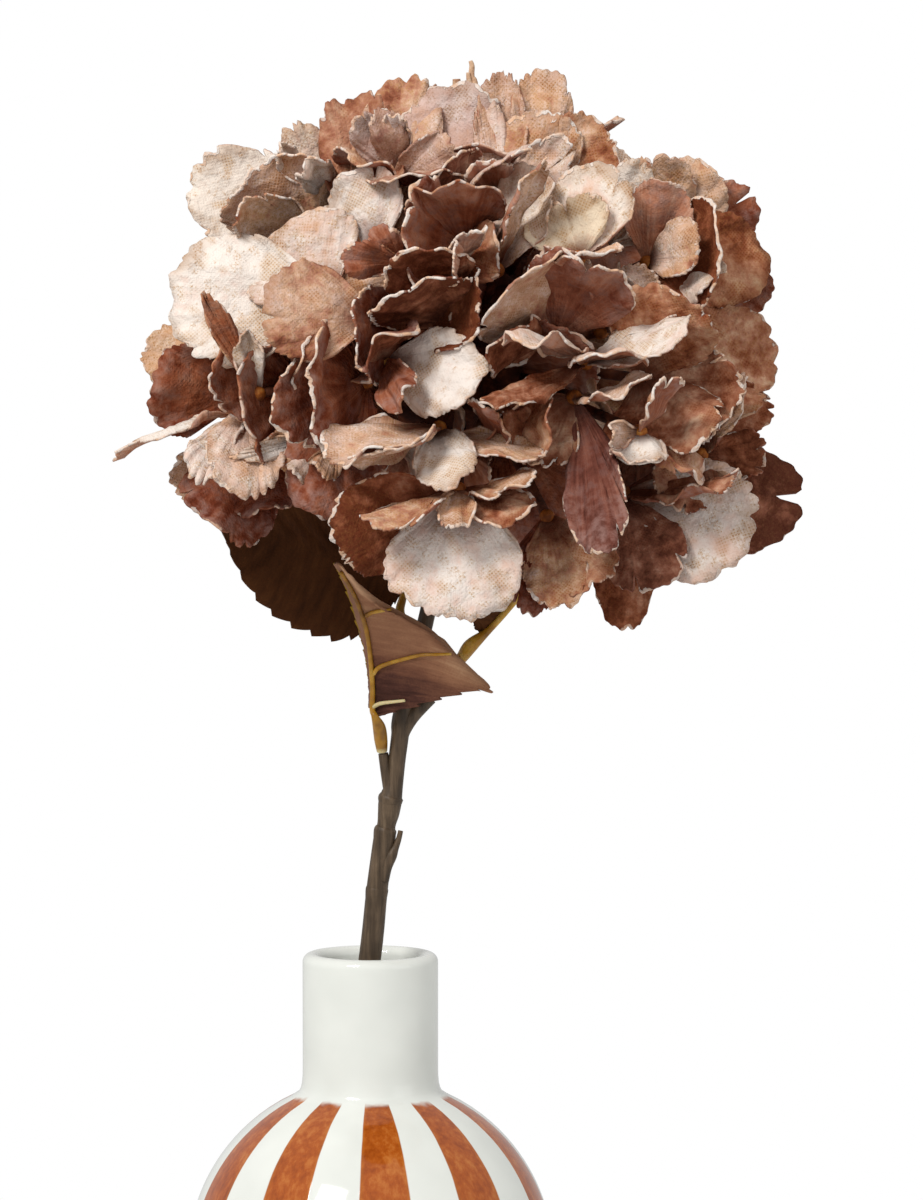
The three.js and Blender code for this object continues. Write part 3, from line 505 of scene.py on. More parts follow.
def petal_face(p):
    """The printed face: from rust to off-white by its tone, with gilded threads, and painted shade that
    darkens it towards the root.
    """
    level = p.sway(p.mottle, 0.9, p.sway(p.broad, 1.15, p.tone))
    level = p.sway(p.rays, 0.35, level, clamp=True)
    face = p.ramp(level, [(0.0, "#602d19"), (0.2, "#8f543b"), (0.38, "#b48066"), (0.54, "#cca68a"),
                          (0.7, "#d6b9a9"), (0.86, "#dccabf"), (1.0, "#e2d8cf")])
    face = p.mix(worn(p), face, p.mix(p.mottle, "#92592c", "#c09655"))
    aged = p.times(p.step(p.from_edge, 5.5, 0.5), p.step(p.broad, 0.4, 0.62))
    face = p.mix(p.times(aged, 0.55), face, "#b99470", "MULTIPLY")
    gilt = p.times(p.step(p.noise(p.local, 0.11, 2.0), 0.5, 0.64), p.add(p.weave, 0.55, 0.3))
    face = p.mix(gilt, face, "#cda66c", "MULTIPLY")
    # Painted shade: the face darkens towards the root, where the petals shade it.
    throat = p.times(p.step(p.reach, 0.5, 0.1), 0.85)
    return p.mix(throat, face, "#5a2c1c")


def petal_back(p):
    """The darker back, rust brown with mauve patches and a dusty bloom towards the edge."""
    depth = p.sway(p.rays, 0.7, p.times(p.broad, 0.75))
    depth = p.sway(p.mottle, 0.45, p.add(p.tone, 0.45, depth))
    back = p.ramp(depth, [(0.1, "#43190b"), (0.35, "#70341e"), (0.55, "#90543a"), (0.75, "#ab755b"),
                          (0.95, "#c59d86")])
    back = p.mix(p.times(p.step(p.mottle, 0.46, 0.66), 0.55), back, "#6f4a43")
    bloom = p.times(p.step(p.reach, 0.5, 1.0), p.step(p.mottle, 0.35, 0.75))
    return p.mix(p.times(bloom, 0.45), back, "#b9968a")


def tinted(p, body):
    """The body's colour turned golden above hue 0.5, and greyer and rosier below it."""
    hue = p.attribute("hue", "Fac")
    body = p.mix(p.step(hue, 0.5, 1.0, 0.0, 0.8), body, "#f0d79c", "MULTIPLY")
    body = p.mix(p.step(hue, 0.5, 0.0, 0.0, 0.2), body, "#808080", "SATURATION")
    return p.mix(p.step(hue, 0.5, 0.0, 0.0, 0.9), body, "#ecdedd", "MULTIPLY")


def painted_rim(p):
    """Where thick pale paint lies along the edge, in a border that comes and goes."""
    width = p.add(p.grain, 1.4, p.add(p.noise(p.local, 0.24, 2.0), 9.0, -6.0))
    width = p.math("MINIMUM", p.add(p.rim, 1.6, width), 1.2)
    return p.step(p.math("SUBTRACT", width, p.from_edge), 0.0, 0.3)


def petal_material():
    p = PetalPaint()
    painted = painted_rim(p)
    body = tinted(p, p.mix(p.side, petal_back(p), petal_face(p)))
    lip = p.mix(p.step(p.mottle, 0.35, 0.65), "#dcd2ca", "#d3ab8c")
    p.colour(p.mix(p.times(painted, p.add(p.rim, 0.5, 0.5)), body, lip))
    height = p.add(p.mottle, 0.45, p.add(p.rays, 0.55, p.times(p.grain, 0.25)))
    height = p.add(p.noise(p.local, 0.26, 3.0, 0.5), 1.4, height)
    height = p.add(painted, 0.3, height)
    p.bump(p.add(p.weave, 0.05, height), 0.0009, 0.9)
    return p.material


def stripes(p, across, ragged, z):
    """Where a stripe lies, with soft sides, a ragged top, and a bare ring above the foot."""
    half, top, blur = STRIPE_SHARE / 2, STRIPE_TOP * MM, TOP_BLUR * MM
    sides = p.step(across, half + SIDE_BLUR, half - SIDE_BLUR)
    inside = p.times(sides, p.step(ragged, top + blur, top - blur))
    return p.times(inside, p.step(z, STRIPE_FOOT * MM, (STRIPE_FOOT + 2) * MM))


def stripe_colour(p, coordinates, across):
    """Brushed rust paint, lighter along a stripe's sides."""
    streaks = p.noise(p.place(coordinates, (1.0, 1.0, 0.09)), 520.0, 4.0, 0.65)
    blotches = p.noise(p.place(coordinates, (1.0, 1.0, 0.5)), 90.0, 3.0, 0.6)
    pigment = p.add(streaks, 0.75, p.times(blotches, 0.45))
    rust = p.ramp(pigment, [(0.3, "#6b2c09"), (0.48, "#8c400f"), (0.62, "#a04f17"), (0.8, "#b56c30")])
    halo = p.step(across, STRIPE_SHARE / 2 - 0.05, STRIPE_SHARE / 2 + 0.004)
    return p.mix(p.times(halo, 0.35), rust, "#b0702a")


def glaze_material():
    p = Paint("glaze", 0.08, Specular_IOR_Level=0.45)
    coordinates = p.coordinates()
    x, y, z = p.split(coordinates)
    wobble = p.noise(coordinates, 60.0, 2.0)
    turn = p.math("ARCTAN2", x, p.times(y, -1.0))
    turn = p.add(turn, STRIPES / (2 * math.pi), 0.5 - STRIPE_TURN / 360 * STRIPES + STRIPES)
    across = p.math("ABSOLUTE", p.math("SUBTRACT", p.math("FRACT", turn), 0.5))
    across = p.sway(wobble, 0.03, across)
    inside = stripes(p, across, p.sway(p.noise(coordinates, 220.0, 2.0), 0.0022, z), z)
    white = p.mix(wobble, "#e2e4de", "#cdd0ca")
    ground = p.mix(inside, white, stripe_colour(p, coordinates, across))
    spots = p.node("ShaderNodeTexVoronoi", {"Vector": coordinates, "Scale": 150.0}).outputs
    speck = p.times(p.step(spots["Distance"], 0.09, 0.04), p.step(p.split(spots["Color"])[0], 0.93, 0.95))
    p.colour(p.mix(p.times(speck, 0.7), ground, p.mix(inside, "#8a7a6c", "#c9905f")))
    p.bump(p.add(inside, 0.1, p.noise(coordinates, 35.0, 2.0)), 0.0004, 0.5)
    return p.material


def stem_material():
    p = Paint("stem plastic", 0.5, Specular_IOR_Level=0.3)
    coordinates = p.coordinates()
    fibres = p.noise(p.place(coordinates, (1.0, 1.0, 0.07)), 900.0, 4.0, 0.6)
    patches = p.noise(coordinates, 120.0)
    level = p.add(fibres, 0.7, p.times(patches, 0.4))
    p.colour(p.ramp(level, [(0.3, "#281d12"), (0.5, "#433526"), (0.66, "#5d4c3a"), (0.8, "#7c6c56")]))
    p.bump(p.add(fibres, 0.7, patches), 0.0004, 0.8)
    return p.material


def rib_material():
    p = Paint("rib plastic", 0.4, Specular_IOR_Level=0.4, Subsurface_Weight=0.1, Subsurface_Scale=0.002)
    coordinates = p.coordinates()
    level = p.noise(coordinates, 130.0, 3.0, 0.6)
    gold = p.ramp(level, [(0.3, "#6f470c"), (0.48, "#a07115"), (0.62, "#b78d2f"), (0.8, "#cbb070")])
    p.colour(p.mix(p.attribute("pale", "Fac"), gold, "#cdbd8c"))
    p.bump(p.noise(coordinates, 500.0, 2.0), 0.0002, 0.5)
    return p.material


def leaf_grain(p, along, across):
    """The soft cloudy grain of a printed leaf, drawn out across it, from about 0 to 1."""
    slant = p.add(p.math("ABSOLUTE", across), -0.12, along)
    drawn = p.node("ShaderNodeCombineXYZ", {0: p.times(slant, 26.0), 1: p.times(across, 2.2)})
    lines = p.noise(drawn.outputs[0], 1.0, 5.0, 0.6)
    coordinates = p.coordinates()
    patches = p.noise(coordinates, 90.0)
    fibre = p.noise(coordinates, 2200.0, 2.0)
    p.bump(p.add(fibre, 0.25, lines), 0.0003, 0.7)
    return p.add(fibre, 0.15, p.add(lines, 0.5, p.times(patches, 0.35)))


def front_leaf_material():
    """Brown with a mauve tinge and a gold border on its left edge; darker towards the foot, partly its own
    colour and partly painted shade where it curves under, with painted light towards its right side and a
    painted lit band near its end.
    """
    p = Paint("lit leaf fabric", 0.8, Specular_IOR_Level=0.15)
    along, across, _ = p.split(p.attribute("leaf"))
    # Painted shade towards the foot, where the leaf curves under, over its own darker brown there.
    lit = p.math("ADD", p.step(along, 0.2, 0.62, 0.0, 0.55), 0.2)
    level = p.sway(leaf_grain(p, along, across), 1.1, lit)
    # Painted light: paler towards the right side.
    level = p.add(p.step(across, 0.3, 1.0), 0.12, level, clamp=True)
    face = p.ramp(level, [(0.05, "#2e1812"), (0.25, "#4a2c24"), (0.5, "#734b38"), (0.75, "#94694e"),
                          (1.0, "#b58d6c")])
    face = p.mix(p.times(p.step(across, -0.02, -0.1), 0.6), face, "#8f6a5a")
    # Painted light: a pale tan band where light falls near the leaf's end.
    painted_lit_band = p.times(p.step(along, 0.84, 0.93), p.step(across, 0.0, 0.12))
    face = p.mix(p.times(painted_lit_band, 0.75), face, "#cfa582")
    border = p.times(p.step(across, -0.72, -0.82), p.step(along, 0.18, 0.28))
    p.colour(p.mix(border, face, "#94731f"))
    return p.material


# Painted shade: a darker copy of the leaf fabric, for the leaves behind that hang in the head's shadow.
def shaded_leaf_material():
    p = Paint("shaded leaf fabric", 0.8, Specular_IOR_Level=0.12)
    along, across, _ = p.split(p.attribute("leaf"))
    grain = leaf_grain(p, along, across)
    p.colour(p.ramp(grain, [(0.3, "#2a1305"), (0.5, "#45250f"), (0.65, "#543116"), (0.8, "#6a4527")]))
    return p.material


def cloudy_material(name, roughness, low, middle, high):
    """Three colours in clouds a few mm across, with a rough skin."""
    p = Paint(name, roughness, Specular_IOR_Level=0.2)
    coordinates = p.coordinates()
    p.colour(p.ramp(p.noise(coordinates, 300.0), [(0.35, low), (0.55, middle), (0.75, high)]))
    p.bump(p.noise(coordinates, 900.0, 2.0), 0.0004, 0.8)
    return p.material


# Vase
VASE_TOP = 122.0
BALL_RADIUS = 48.0
BALL_HEIGHT = 41.0
WALL = 4.0
FLOOR_HEIGHT = 5.0
NECK_RADIUS = 17.7
NECK_FOOT = 90.0
MOUTH_RADIUS = 13.1
LIP_RADIUS = 2.3
LIP_FOOT = VASE_TOP - LIP_RADIUS
STRIPES = 10
STRIPE_TURN = 5.8
STRIPE_SHARE = 0.5
STRIPE_TOP = 84.6
STRIPE_FOOT = 4.0
TOP_BLUR = 0.7
SIDE_BLUR = 0.008
VASE_SEGMENTS = 160


def ball_arc(radius, start, end, steps):
    heights = np.linspace(start, end, steps)
    return [(math.sqrt(radius ** 2 - (z - BALL_HEIGHT) ** 2), z) for z in heights]


def lip_arc(steps):
    turns = np.radians(np.linspace(0, 180, steps))
    middle = NECK_RADIUS - LIP_RADIUS
    return [(middle + LIP_RADIUS * math.cos(t), LIP_FOOT + LIP_RADIUS * math.sin(t)) for t in turns]


def vase_outline():
    """Radius and height, from the foot up the outside, over the lip and down inside to the floor."""
    outline = [(12.0, 0.0), (23.6, 0.0), (24.6, 0.15), (25.2, 0.6)]
    outline += ball_arc(BALL_RADIUS, 1.6, 84.4, 44)
    outline += [(18.7, 85.6), (18.2, 86.7), (17.9, 88.0), (NECK_RADIUS + 0.03, NECK_FOOT)]
    outline += [(NECK_RADIUS, z) for z in np.linspace(NECK_FOOT + 2.0, LIP_FOOT - 0.6, 8)]
    outline += lip_arc(15)
    outline += [(MOUTH_RADIUS, z) for z in np.linspace(LIP_FOOT - 1.0, NECK_FOOT - 2.0, 6)]
    outline += [(MOUTH_RADIUS + 0.5, 86.0), (MOUTH_RADIUS + 1.2, 83.8)]
    outline += ball_arc(BALL_RADIUS - WALL, 82.2, 7.0, 30)
    return outline + [(23.5, FLOOR_HEIGHT)]


def make_vase():
    turn = np.linspace(0, 2 * math.pi, VASE_SEGMENTS, endpoint=False)
    rings = [np.stack([r * np.cos(turn), r * np.sin(turn), np.full_like(turn, z)], axis=1)
             for r, z in vase_outline()]
    middles = np.array([[0.0, 0.0, 0.0], [0.0, 0.0, FLOOR_HEIGHT]])
    faces = ring_faces(len(rings), VASE_SEGMENTS)
    foot = len(rings) * VASE_SEGMENTS
    floor, last = foot + 1, foot - VASE_SEGMENTS
    for j in range(VASE_SEGMENTS):
        after = (j + 1) % VASE_SEGMENTS
        faces += [(foot, after, j), (floor, last + j, last + after)]
    piece = make_object("glazed_vase", np.concatenate(rings + [middles]), faces, glaze_material(), {})
    stand_for(piece, "vase")


# Stem
STEM_SIDES = 20
STEM = [[-16.2, -5.5, 5.9], [-4.6, -8.6, 88], [0, -9.6, 121.5], [1.6, -10.3, 137], [2.6, -10.7, 145],
        [3.8, -11, 152.5], [4.2, -11, 155.4], [4.8, -11.1, 158.6], [5.3, -11.2, 162.2], [6.3, -11.5, 166.4],
        [7, -11.8, 172.7], [7.8, -12, 179], [8.4, -12.2, 185.2], [14.3, -13, 208], [18, -13.6, 226]]
STEM_RADII = [2.9, 2.9, 2.9, 2.8, 2.75, 2.85, 2.4, 2.8, 3.0, 2.3, 2.25, 2.3, 2.3, 2.1, 2.1]
STEM_PARTS = [
    ([[5.2, -11.2, 161.2], [5.35, -11.2, 162.6], [5.6, -11.2, 163.6]], [3.0, 3.25, 2.6]),
    ([[3.5, -11, 151], [3.9, -11, 154], [4.1, -11, 155]], [2.7, 2.95, 2.5]),
    ([[1.4, -10.2, 135.5], [1.75, -10.3, 138.6], [1.9, -10.3, 139.6]], [2.7, 2.95, 2.5]),
    ([[3.2, -11.4, 141], [4.1, -11.8, 144.5], [5.5, -12.2, 147.5], [6.5, -12.2, 149.5], [7.4, -12.2, 151.8],
      [7.95, -12.2, 154]], [1.7, 1.6, 1.5, 1.0, 0.75, 0.65]),
    ([[4.9, -11.4, 164], [4.2, -11.6, 169.5], [3.4, -11.8, 174.3]], [1.4, 1.5, 1.3]),
    ([[7.9, -12, 177], [8.7, -12, 180.5], [11.2, -11.8, 184.5], [15.6, -11.6, 189]], [1.6, 2.0, 2.1, 2.0]),
    ([[12.2, -12.8, 200], [10.2, -11, 204], [8.6, -10, 208]], [1.7, 1.5, 1.3]),
]


def make_stem():
    pile = Pile()
    for points, radii in [(STEM, STEM_RADII)] + STEM_PARTS:
        pile.add(*limb(points, radii, STEM_SIDES))
    stand_for(pile.build("stem_body", stem_material()), "stem")


# Leaves
LEAF_ROWS = 130
LEAF_COLUMNS = 41
LEAF_THICKNESS = 0.7
TEETH = 11
TOOTH = 1.7
TEETH_START = 0.04
TEETH_END = 0.98
TOOTH_BAND = 0.8
CREASE_DEPTH = 0.25
CREASES = 9
GLUE_HEIGHT = 2.0
GLUE_BLUR = 1.2
RIB_SIDES = 14
VEIN_SIDES = 10
FRONT_NET = [
    [[-0.2, -15.4, 186.4], [0.2, -15.6, 185.8], [1, -16, 185], [1.7, -16.4, 184.5], [2.4, -16.8, 184]],
    [[-0.3, -16.2, 191], [0.2, -16.6, 190.4], [1, -17.2, 190], [5.6, -18.6, 188], [11, -19.4, 186]],
    [[-0.6, -17, 195.4], [0, -17.8, 195.2], [0.8, -18.8, 195], [9.6, -21, 191.8], [19.6, -22, 188.6]],
    [[-1.6, -18.4, 200.6], [-0.6, -19.4, 200.4], [0.3, -20.6, 200], [14, -23.6, 196], [28, -24.6, 190.4]],
    [[-3.2, -20, 206.4], [-1.8, -21.4, 206.4], [-0.6, -22.8, 206.2], [17, -25.6, 200], [32, -23, 190.6]],
    [[-5, -22.2, 212.4], [-3.4, -23.6, 212.5], [-2.2, -25.4, 212.4], [12.6, -27, 207], [24.4, -20, 198]],
    [[-6.9, -25, 218.4], [-5.8, -26.4, 218.4], [-4.8, -28.2, 218.2], [2.6, -28.6, 212.6], [16, -20, 206.4]],
    [[-9.4, -29.4, 224], [-8.9, -30, 223.9], [-8, -31, 223.7], [-4.2, -30, 219.6], [-1.2, -26, 215.4]],
]
LEFT_NET = [
    [[8.6, -14.4, 217.4], [9.4, -14.2, 218.4], [10, -14, 219.6], [10, -14, 221], [9.6, -14, 222.4]],
    [[4, -16, 209.6], [3.6, -15, 215], [3.4, -14.6, 221.6], [3.6, -14.6, 226], [4, -14.6, 229.6]],
    [[-6, -17, 203.4], [-5, -16, 212.4], [-4, -15.4, 224], [-3.2, -15, 230], [-2.6, -15, 235]],
    [[-14, -18.6, 204.4], [-13.6, -17.4, 214.6], [-13, -16.4, 227], [-12, -16, 233], [-11, -16, 238]],
    [[-22, -19.6, 207.8], [-21, -18, 218], [-20, -17, 229.2], [-19, -16.8, 235], [-18, -16.6, 239.6]],
    [[-29.4, -20, 213.8], [-28.2, -18.4, 222.4], [-27, -17.4, 231], [-26, -17, 235.6], [-25.6, -17, 239]],
    [[-34.8, -20, 222.4], [-34, -18.8, 228], [-33, -18, 233], [-32.4, -17.6, 236], [-32, -17.4, 238.4]],
    [[-38.4, -19, 232.4], [-38.6, -18.6, 234], [-38.6, -18.4, 235.6], [-38.6, -18, 236.6], [-39, -18, 237]],
]
RIGHT_NET = [
    [[27.4, -16.4, 207], [28.4, -16.2, 206.2], [29.4, -16, 206], [30.4, -14.8, 206], [31.4, -13.6, 206]],
    [[26.4, -20, 210], [29.6, -18.4, 209.6], [33.4, -17, 210.4], [35, -12.6, 211.4], [36, -8, 212.4]],
    [[28.6, -22, 217], [34, -20, 216.4], [39, -18, 216.6], [41, -11, 218.4], [42, -4, 219.6]],
    [[36, -23, 225], [41, -21, 223.6], [46, -19, 222.6], [48, -11, 224.6], [49, -4, 226]],
    [[44, -23, 230.4], [48.4, -21.4, 228.6], [52.6, -20, 227], [54.4, -13, 228.4], [55.4, -7, 229.4]],
    [[54, -22, 232.4], [56, -21, 231.4], [58, -20.4, 230.6], [59, -18, 231], [59.8, -16, 231.4]],
]
NETS = {"front_leaf": FRONT_NET, "left_leaf": LEFT_NET, "right_leaf": RIGHT_NET}
RIBS = {
    "front_leaf": {
        "side": -1, "radius": 0.75, "foot_radii": [1.4, 1.75, 1.65, 0.85],
        "foot": [[3.1, -12.2, 174.9], [2.8, -13.6, 178], [2.3, -16, 181.2], [1.1, -18.8, 184.2]],
        "mid": [0.04, 0.2, 0.4, 0.6, 0.8, 0.95], "pale_veins": 1,
        "veins": [
            [[0.06, 0.06], [0.1, 0.3], [0.14, 0.5], [0.19, 0.66]],
            [[0.3, 0.04], [0.37, 0.13], [0.443, 0.27], [0.535, 0.4], [0.58, 0.5], [0.633, 0.65]],
            [[0.68, 0.05], [0.71, 0.12], [0.77, 0.28], [0.85, 0.58]],
        ],
    },
    "left_leaf": {
        "side": 1, "radius": 0.75, "foot_radii": [1.3, 1.2, 1.0],
        "foot": [[8.3, -9.8, 208.9], [7.8, -9.6, 211.8], [8.6, -10.4, 215.6]],
        "mid": [0.05, 0.25, 0.45, 0.65, 0.85], "pale_veins": 0, "veins": [],
    },
    "right_leaf": {
        "side": -1, "radius": 0.95, "foot_radii": [1.4, 1.2, 1.55, 1.85],
        "foot": [[16.2, -11.3, 190], [19.6, -12.6, 194.4], [23.8, -15.6, 199.2], [26.2, -17.8, 202.4]],
        "mid": [0.06, 0.2, 0.4, 0.6, 0.85], "pale_veins": 0, "veins": [],
    },
}


def net_point(rows, u, w):
    """A point of a leaf; u runs from its foot to its end, and w from -1 to 1 across it."""
    lines = np.array([spline(np.array(row, float), (w + 1) / 2 * (len(row) - 1)) for row in rows])
    return seen(spline(lines, u * (len(rows) - 1)))


def tooth_cut(u):
    """How deep the leaf's edge is cut at u, with teeth that point to its end and fade at both ends."""
    saw = (u * TEETH) % 1
    return TOOTH * (1 - saw ** 0.8) * min(1.0, 12 * u, 12 * (1 - u)) if TEETH_START < u < TEETH_END else 0.0


def leaf_grid(rows):
    grid = np.zeros((LEAF_ROWS, LEAF_COLUMNS, 3))
    for i, u in enumerate(np.linspace(0, 1, LEAF_ROWS)):
        cut = tooth_cut(u)
        for j, w in enumerate(np.linspace(-1, 1, LEAF_COLUMNS)):
            p = net_point(rows, u, w)
            if abs(w) > TOOTH_BAND and cut:
                inward = net_point(rows, u, w * 0.6) - p
                p = p + unit(inward) * cut * ramped(abs(w), TOOTH_BAND)
            grid[i, j] = p
    return grid


def make_leaf(name, material):
    grid = leaf_grid(NETS[name])
    u, w = np.meshgrid(np.linspace(0, 1, LEAF_ROWS), np.linspace(-1, 1, LEAF_COLUMNS), indexing="ij")
    side = np.abs(w)
    crease = np.sin(2 * math.pi * (CREASES * u - 2.2 * side)) * np.minimum(1, 4 * side) * (1 - side)
    grid = grid + grid_normals(grid) * CREASE_DEPTH * crease[..., None]
    points = thicken(grid, np.full(grid.shape[:2], LEAF_THICKNESS))
    leaf = np.stack([u, w, np.zeros_like(w)], axis=-1).reshape(-1, 3)
    piece = make_object(name + "_cloth", points, sheet_faces(LEAF_ROWS, LEAF_COLUMNS, False), material,
                        {"leaf": np.concatenate([leaf, leaf])})
    stand_for(piece, name)


def make_rib(name, material):
    rows, rib = NETS[name], RIBS[name]
    lift = LEAF_THICKNESS / 2 + rib["radius"] * 0.6

    def lie(u, w):
        """The listed point that lies on the leaf at u, w, on the rib's side of it."""
        p = net_point(rows, u, w)
        along = net_point(rows, min(1.0, u + 0.01), w) - p
        normal = unit(np.cross(along, net_point(rows, u, w + 0.02) - p))
        normal = normal if normal[1] * rib["side"] > 0 else -normal
        return unseen(p + normal * lift)

    mid = [lie(u, 0.0) for u in rib["mid"]]
    radii = rib["foot_radii"] + [rib["radius"] * (1 - 0.45 * n / len(mid)) for n in range(len(mid))]
    pile = Pile()
    points, faces = limb(rib["foot"] + mid, radii, RIB_SIDES)
    glue = np.clip((rib["foot"][0][2] + GLUE_HEIGHT - points[:, 2]) / GLUE_BLUR, 0, 1)
    pile.add(points, faces, pale=glue)
    for n, vein in enumerate(rib["veins"]):
        sizes = [rib["radius"] * (0.8 - 0.4 * i / len(vein)) for i in range(len(vein))]
        points, faces = limb([lie(u, w) for u, w in vein], sizes, VEIN_SIDES)
        pile.add(points, faces, pale=np.full(len(points), float(n < rib["pale_veins"])))
    stand_for(pile.build(name + "_plastic", material), name + "_rib")


# Hydrangea head
FRONT_PIECES = 4
PETAL_GRID = (11, 105)
PETAL_THICKNESS = 0.5
RIM_THICKNESS = 0.55
RIM_START = 0.9
CURL_START = 0.86
PETAL_SWEEP = 140
FULLNESS = 0.85
SLENDER = 8
SLENDER_FULLNESS = 1.9
LEAST_BEND = 2
# Kinds of edge: up to which draw, and how deep its scallops and its teeth are as shares of the petal.
EDGE_KINDS = [(0.4, 0.03, 0.035), (0.75, 0.06, 0.015), (1.0, 0.03, 0.0)]
SLITS = 2
SLIT_WIDTH = 0.02
CRUMPLE = 0.33
DENTS = 6
THREAD_SCALE = 0.6
PALEST = 1.15
INNER_PETALS = 56
INNER_GRID = (7, 49)
INNER_ROOT = 0.55
INNER_END = 1.02
BACK_FLORETS = 30
BACK_RADII = np.array([54.0, 52.0, 46.0])
# A back floret's way out has y from FRONT_LIMIT on, and z from LEAF_LIMIT on, or from UNDER_LIMIT on
# where y is past LEAF_DEPTH.
FRONT_LIMIT = -0.15
LEAF_DEPTH = 0.3
LEAF_LIMIT = -0.45
UNDER_LIMIT = -0.72
GOLDEN_TURN = math.pi * (3 - math.sqrt(5))
FLORET_REACH = 31
FLORET_RISE = 9
FLORET_LIFT = 3
FLORET_ROWS = 11
FLORET_COLUMNS = 192
CORE_GRID = (40, 64)
CORE_THICKNESS = 0.6
BEAD_RADIUS = 2.0
BEAD_ROWS = 8
BEAD_COLUMNS = 12
STALK_RADII = [1.5, 1.3]
STALK_SIDES = 8
# Spots of petals that turn golden (above 0) or mauve, and paler (above 0) or darker: (x, z), reach, change.
# The paler and darker spots are partly each petal's own tone and partly painted shade and painted light.
HUE_SPOTS = [((96, 302), 20, 0.4), ((102, 276), 18, 0.9), ((-45, 280), 20, 0.4), ((-30, 318), 16, 0.3),
             ((-18, 334), 8, 0.5), ((22, 330), 14, -0.9), ((88, 234), 20, -0.5), ((16, 272), 18, -0.15),
             ((56, 246), 12, -1.0), ((20, 222), 20, -0.2), ((44, 292), 14, -0.4), ((82, 264), 10, -0.7),
             ((-14, 291), 9, -0.3), ((48, 312), 12, 0.5), ((4, 336), 12, -0.6)]
TONE_AND_SHADE_SPOTS = [((-16, 330), 15, 0.5), ((5, 312), 8, 0.2), ((60, 312), 11, 0.5), ((-25, 280), 12, 0.4),
              ((13, 264), 12, 0.8), ((26, 316), 8, 0.5), ((80, 322), 14, 0.25), ((55, 274), 6, 0.4),
              ((105, 236), 9, 0.5), ((-42, 298), 12, -0.2), ((-44, 252), 12, -0.15), ((2, 253), 9, -0.6),
              ((42, 270), 7, -0.6), ((92, 295), 14, -0.5), ((31, 220), 15, -0.5), ((5, 228), 9, -0.6),
              ((64, 241), 8, -0.4), ((95, 245), 9, -0.4), ((20, 285), 7, -0.5), ((70, 294), 8, -0.5),
              ((42, 291), 9, 0.35), ((-22, 322), 8, 0.5), ((27, 254), 6, 0.6), ((46, 257), 5, 0.5),
              ((98, 276), 14, -0.25), ((8, 304), 9, 0.3)]
HEAD_STEM = ([[18.1, -13.6, 226.7], [18.8, -13.8, 236], [20, -14, 252]], [3.6, 4.2, 8.6])
SPRIG = [
    ([[24, -30, 318], [27, -22, 345], [26.4, -21, 350], [26.5, -21, 352.6], [26.1, -21, 354]],
     [1.5, 1.1, 0.8, 0.7, 0.5]),
    ([[26.6, -22, 346], [25.8, -22, 348.6], [25.5, -22, 351]], [0.9, 0.7, 0.5]),
    ([[20, -24, 338], [22.4, -23, 346], [22.5, -23, 349.3]], [1.1, 1.2, 1.0]),
]


def cut_edge(k, v):
    """How far a petal's edge reaches at v: serrate, crenate or only waved, with a slit or two."""
    kind = draw(k, 2)
    scallop, tooth = next((scallop, tooth) for below, scallop, tooth in EDGE_KINDS if kind < below)
    lobes = 6 + int(5 * draw(k, 1))
    warp = (v + 1) / 2 + 0.05 * np.sin(5 * v + k) + 0.03 * np.sin(11 * v + 2 * k)
    scallops = 1 - np.abs(np.sin(math.pi * lobes * warp)) ** 0.6
    teeth = 1 - np.abs(np.sin(math.pi * 3.1 * lobes * warp)) ** 0.8
    edge = 1 - scallop * scallops - tooth * teeth
    edge = edge - 0.03 * (0.5 + 0.5 * np.sin(7 * v + 3 * k)) - 0.015 * np.sin(29 * v + k) ** 2
    for n in range(SLITS):
        where = -0.7 + 1.4 * draw(k, 10 + n)
        deep = 0.3 * max(0.0, draw(k, 12 + n) - 0.35)
        edge = edge - deep * np.exp(-(((v - where) / SLIT_WIDTH) ** 2))
    return edge


def crumple(k, x, y):
    """Soft dents and folds over a petal, in mm, from sums of waves in changing directions."""
    height = 0 * x
    for n in range(DENTS):
        turn = phase(k, 20 + n)
        pitch = 2.5 + 3.0 * n
        pull = 2 * math.pi / pitch
        wave = np.sin(pull * (x * math.cos(turn) + y * math.sin(turn)) + phase(k, 30 + n))
        height = height + CRUMPLE * pitch / 10 * wave * np.sin(pull / 2.3 * (y - x * 0.6) + n + k)
    return height


def petal_outline(k, v, width, length):
    """How far the edge lies to the side and along the petal at v, which runs from -1 to 1 around it."""
    reach = math.radians(PETAL_SWEEP) * v
    edge = cut_edge(k, v)
    fullness = SLENDER_FULLNESS if width < SLENDER else FULLNESS
    half = width / 2 * np.sign(np.sin(reach)) * np.abs(np.sin(reach)) ** fullness * edge
    return half, length * (0.6 + 0.4 * np.cos(reach)) * edge


def petal_relief(k, x, y, s, v):
    """Waves, pleats, dents and a curled rim, which stand on the petal's cupped form."""
    waves = 1.5 + 2 * draw(k, 3)
    pleats = 4 + 4 * draw(k, 6)
    curl = 0.8 if draw(k, 8) < 0.6 else -0.8
    height = (0.4 + 1.3 * draw(k, 4)) * s ** 2 * np.sin(math.pi * waves * v + phase(k, 5))
    height = height + 0.4 * s ** 3 * np.sin(math.pi * pleats * v + phase(k, 7))
    height = height + crumple(k, x, y) * np.minimum(1, 2.5 * s)
    return height + curl * ramped(s, CURL_START) ** 2 * (0.6 + 0.4 * np.sin(6 * v + k))


def arc_angle(degrees):
    """In radians, and never so small that its arc has no middle."""
    return math.radians(degrees if abs(degrees) > LEAST_BEND else LEAST_BEND)


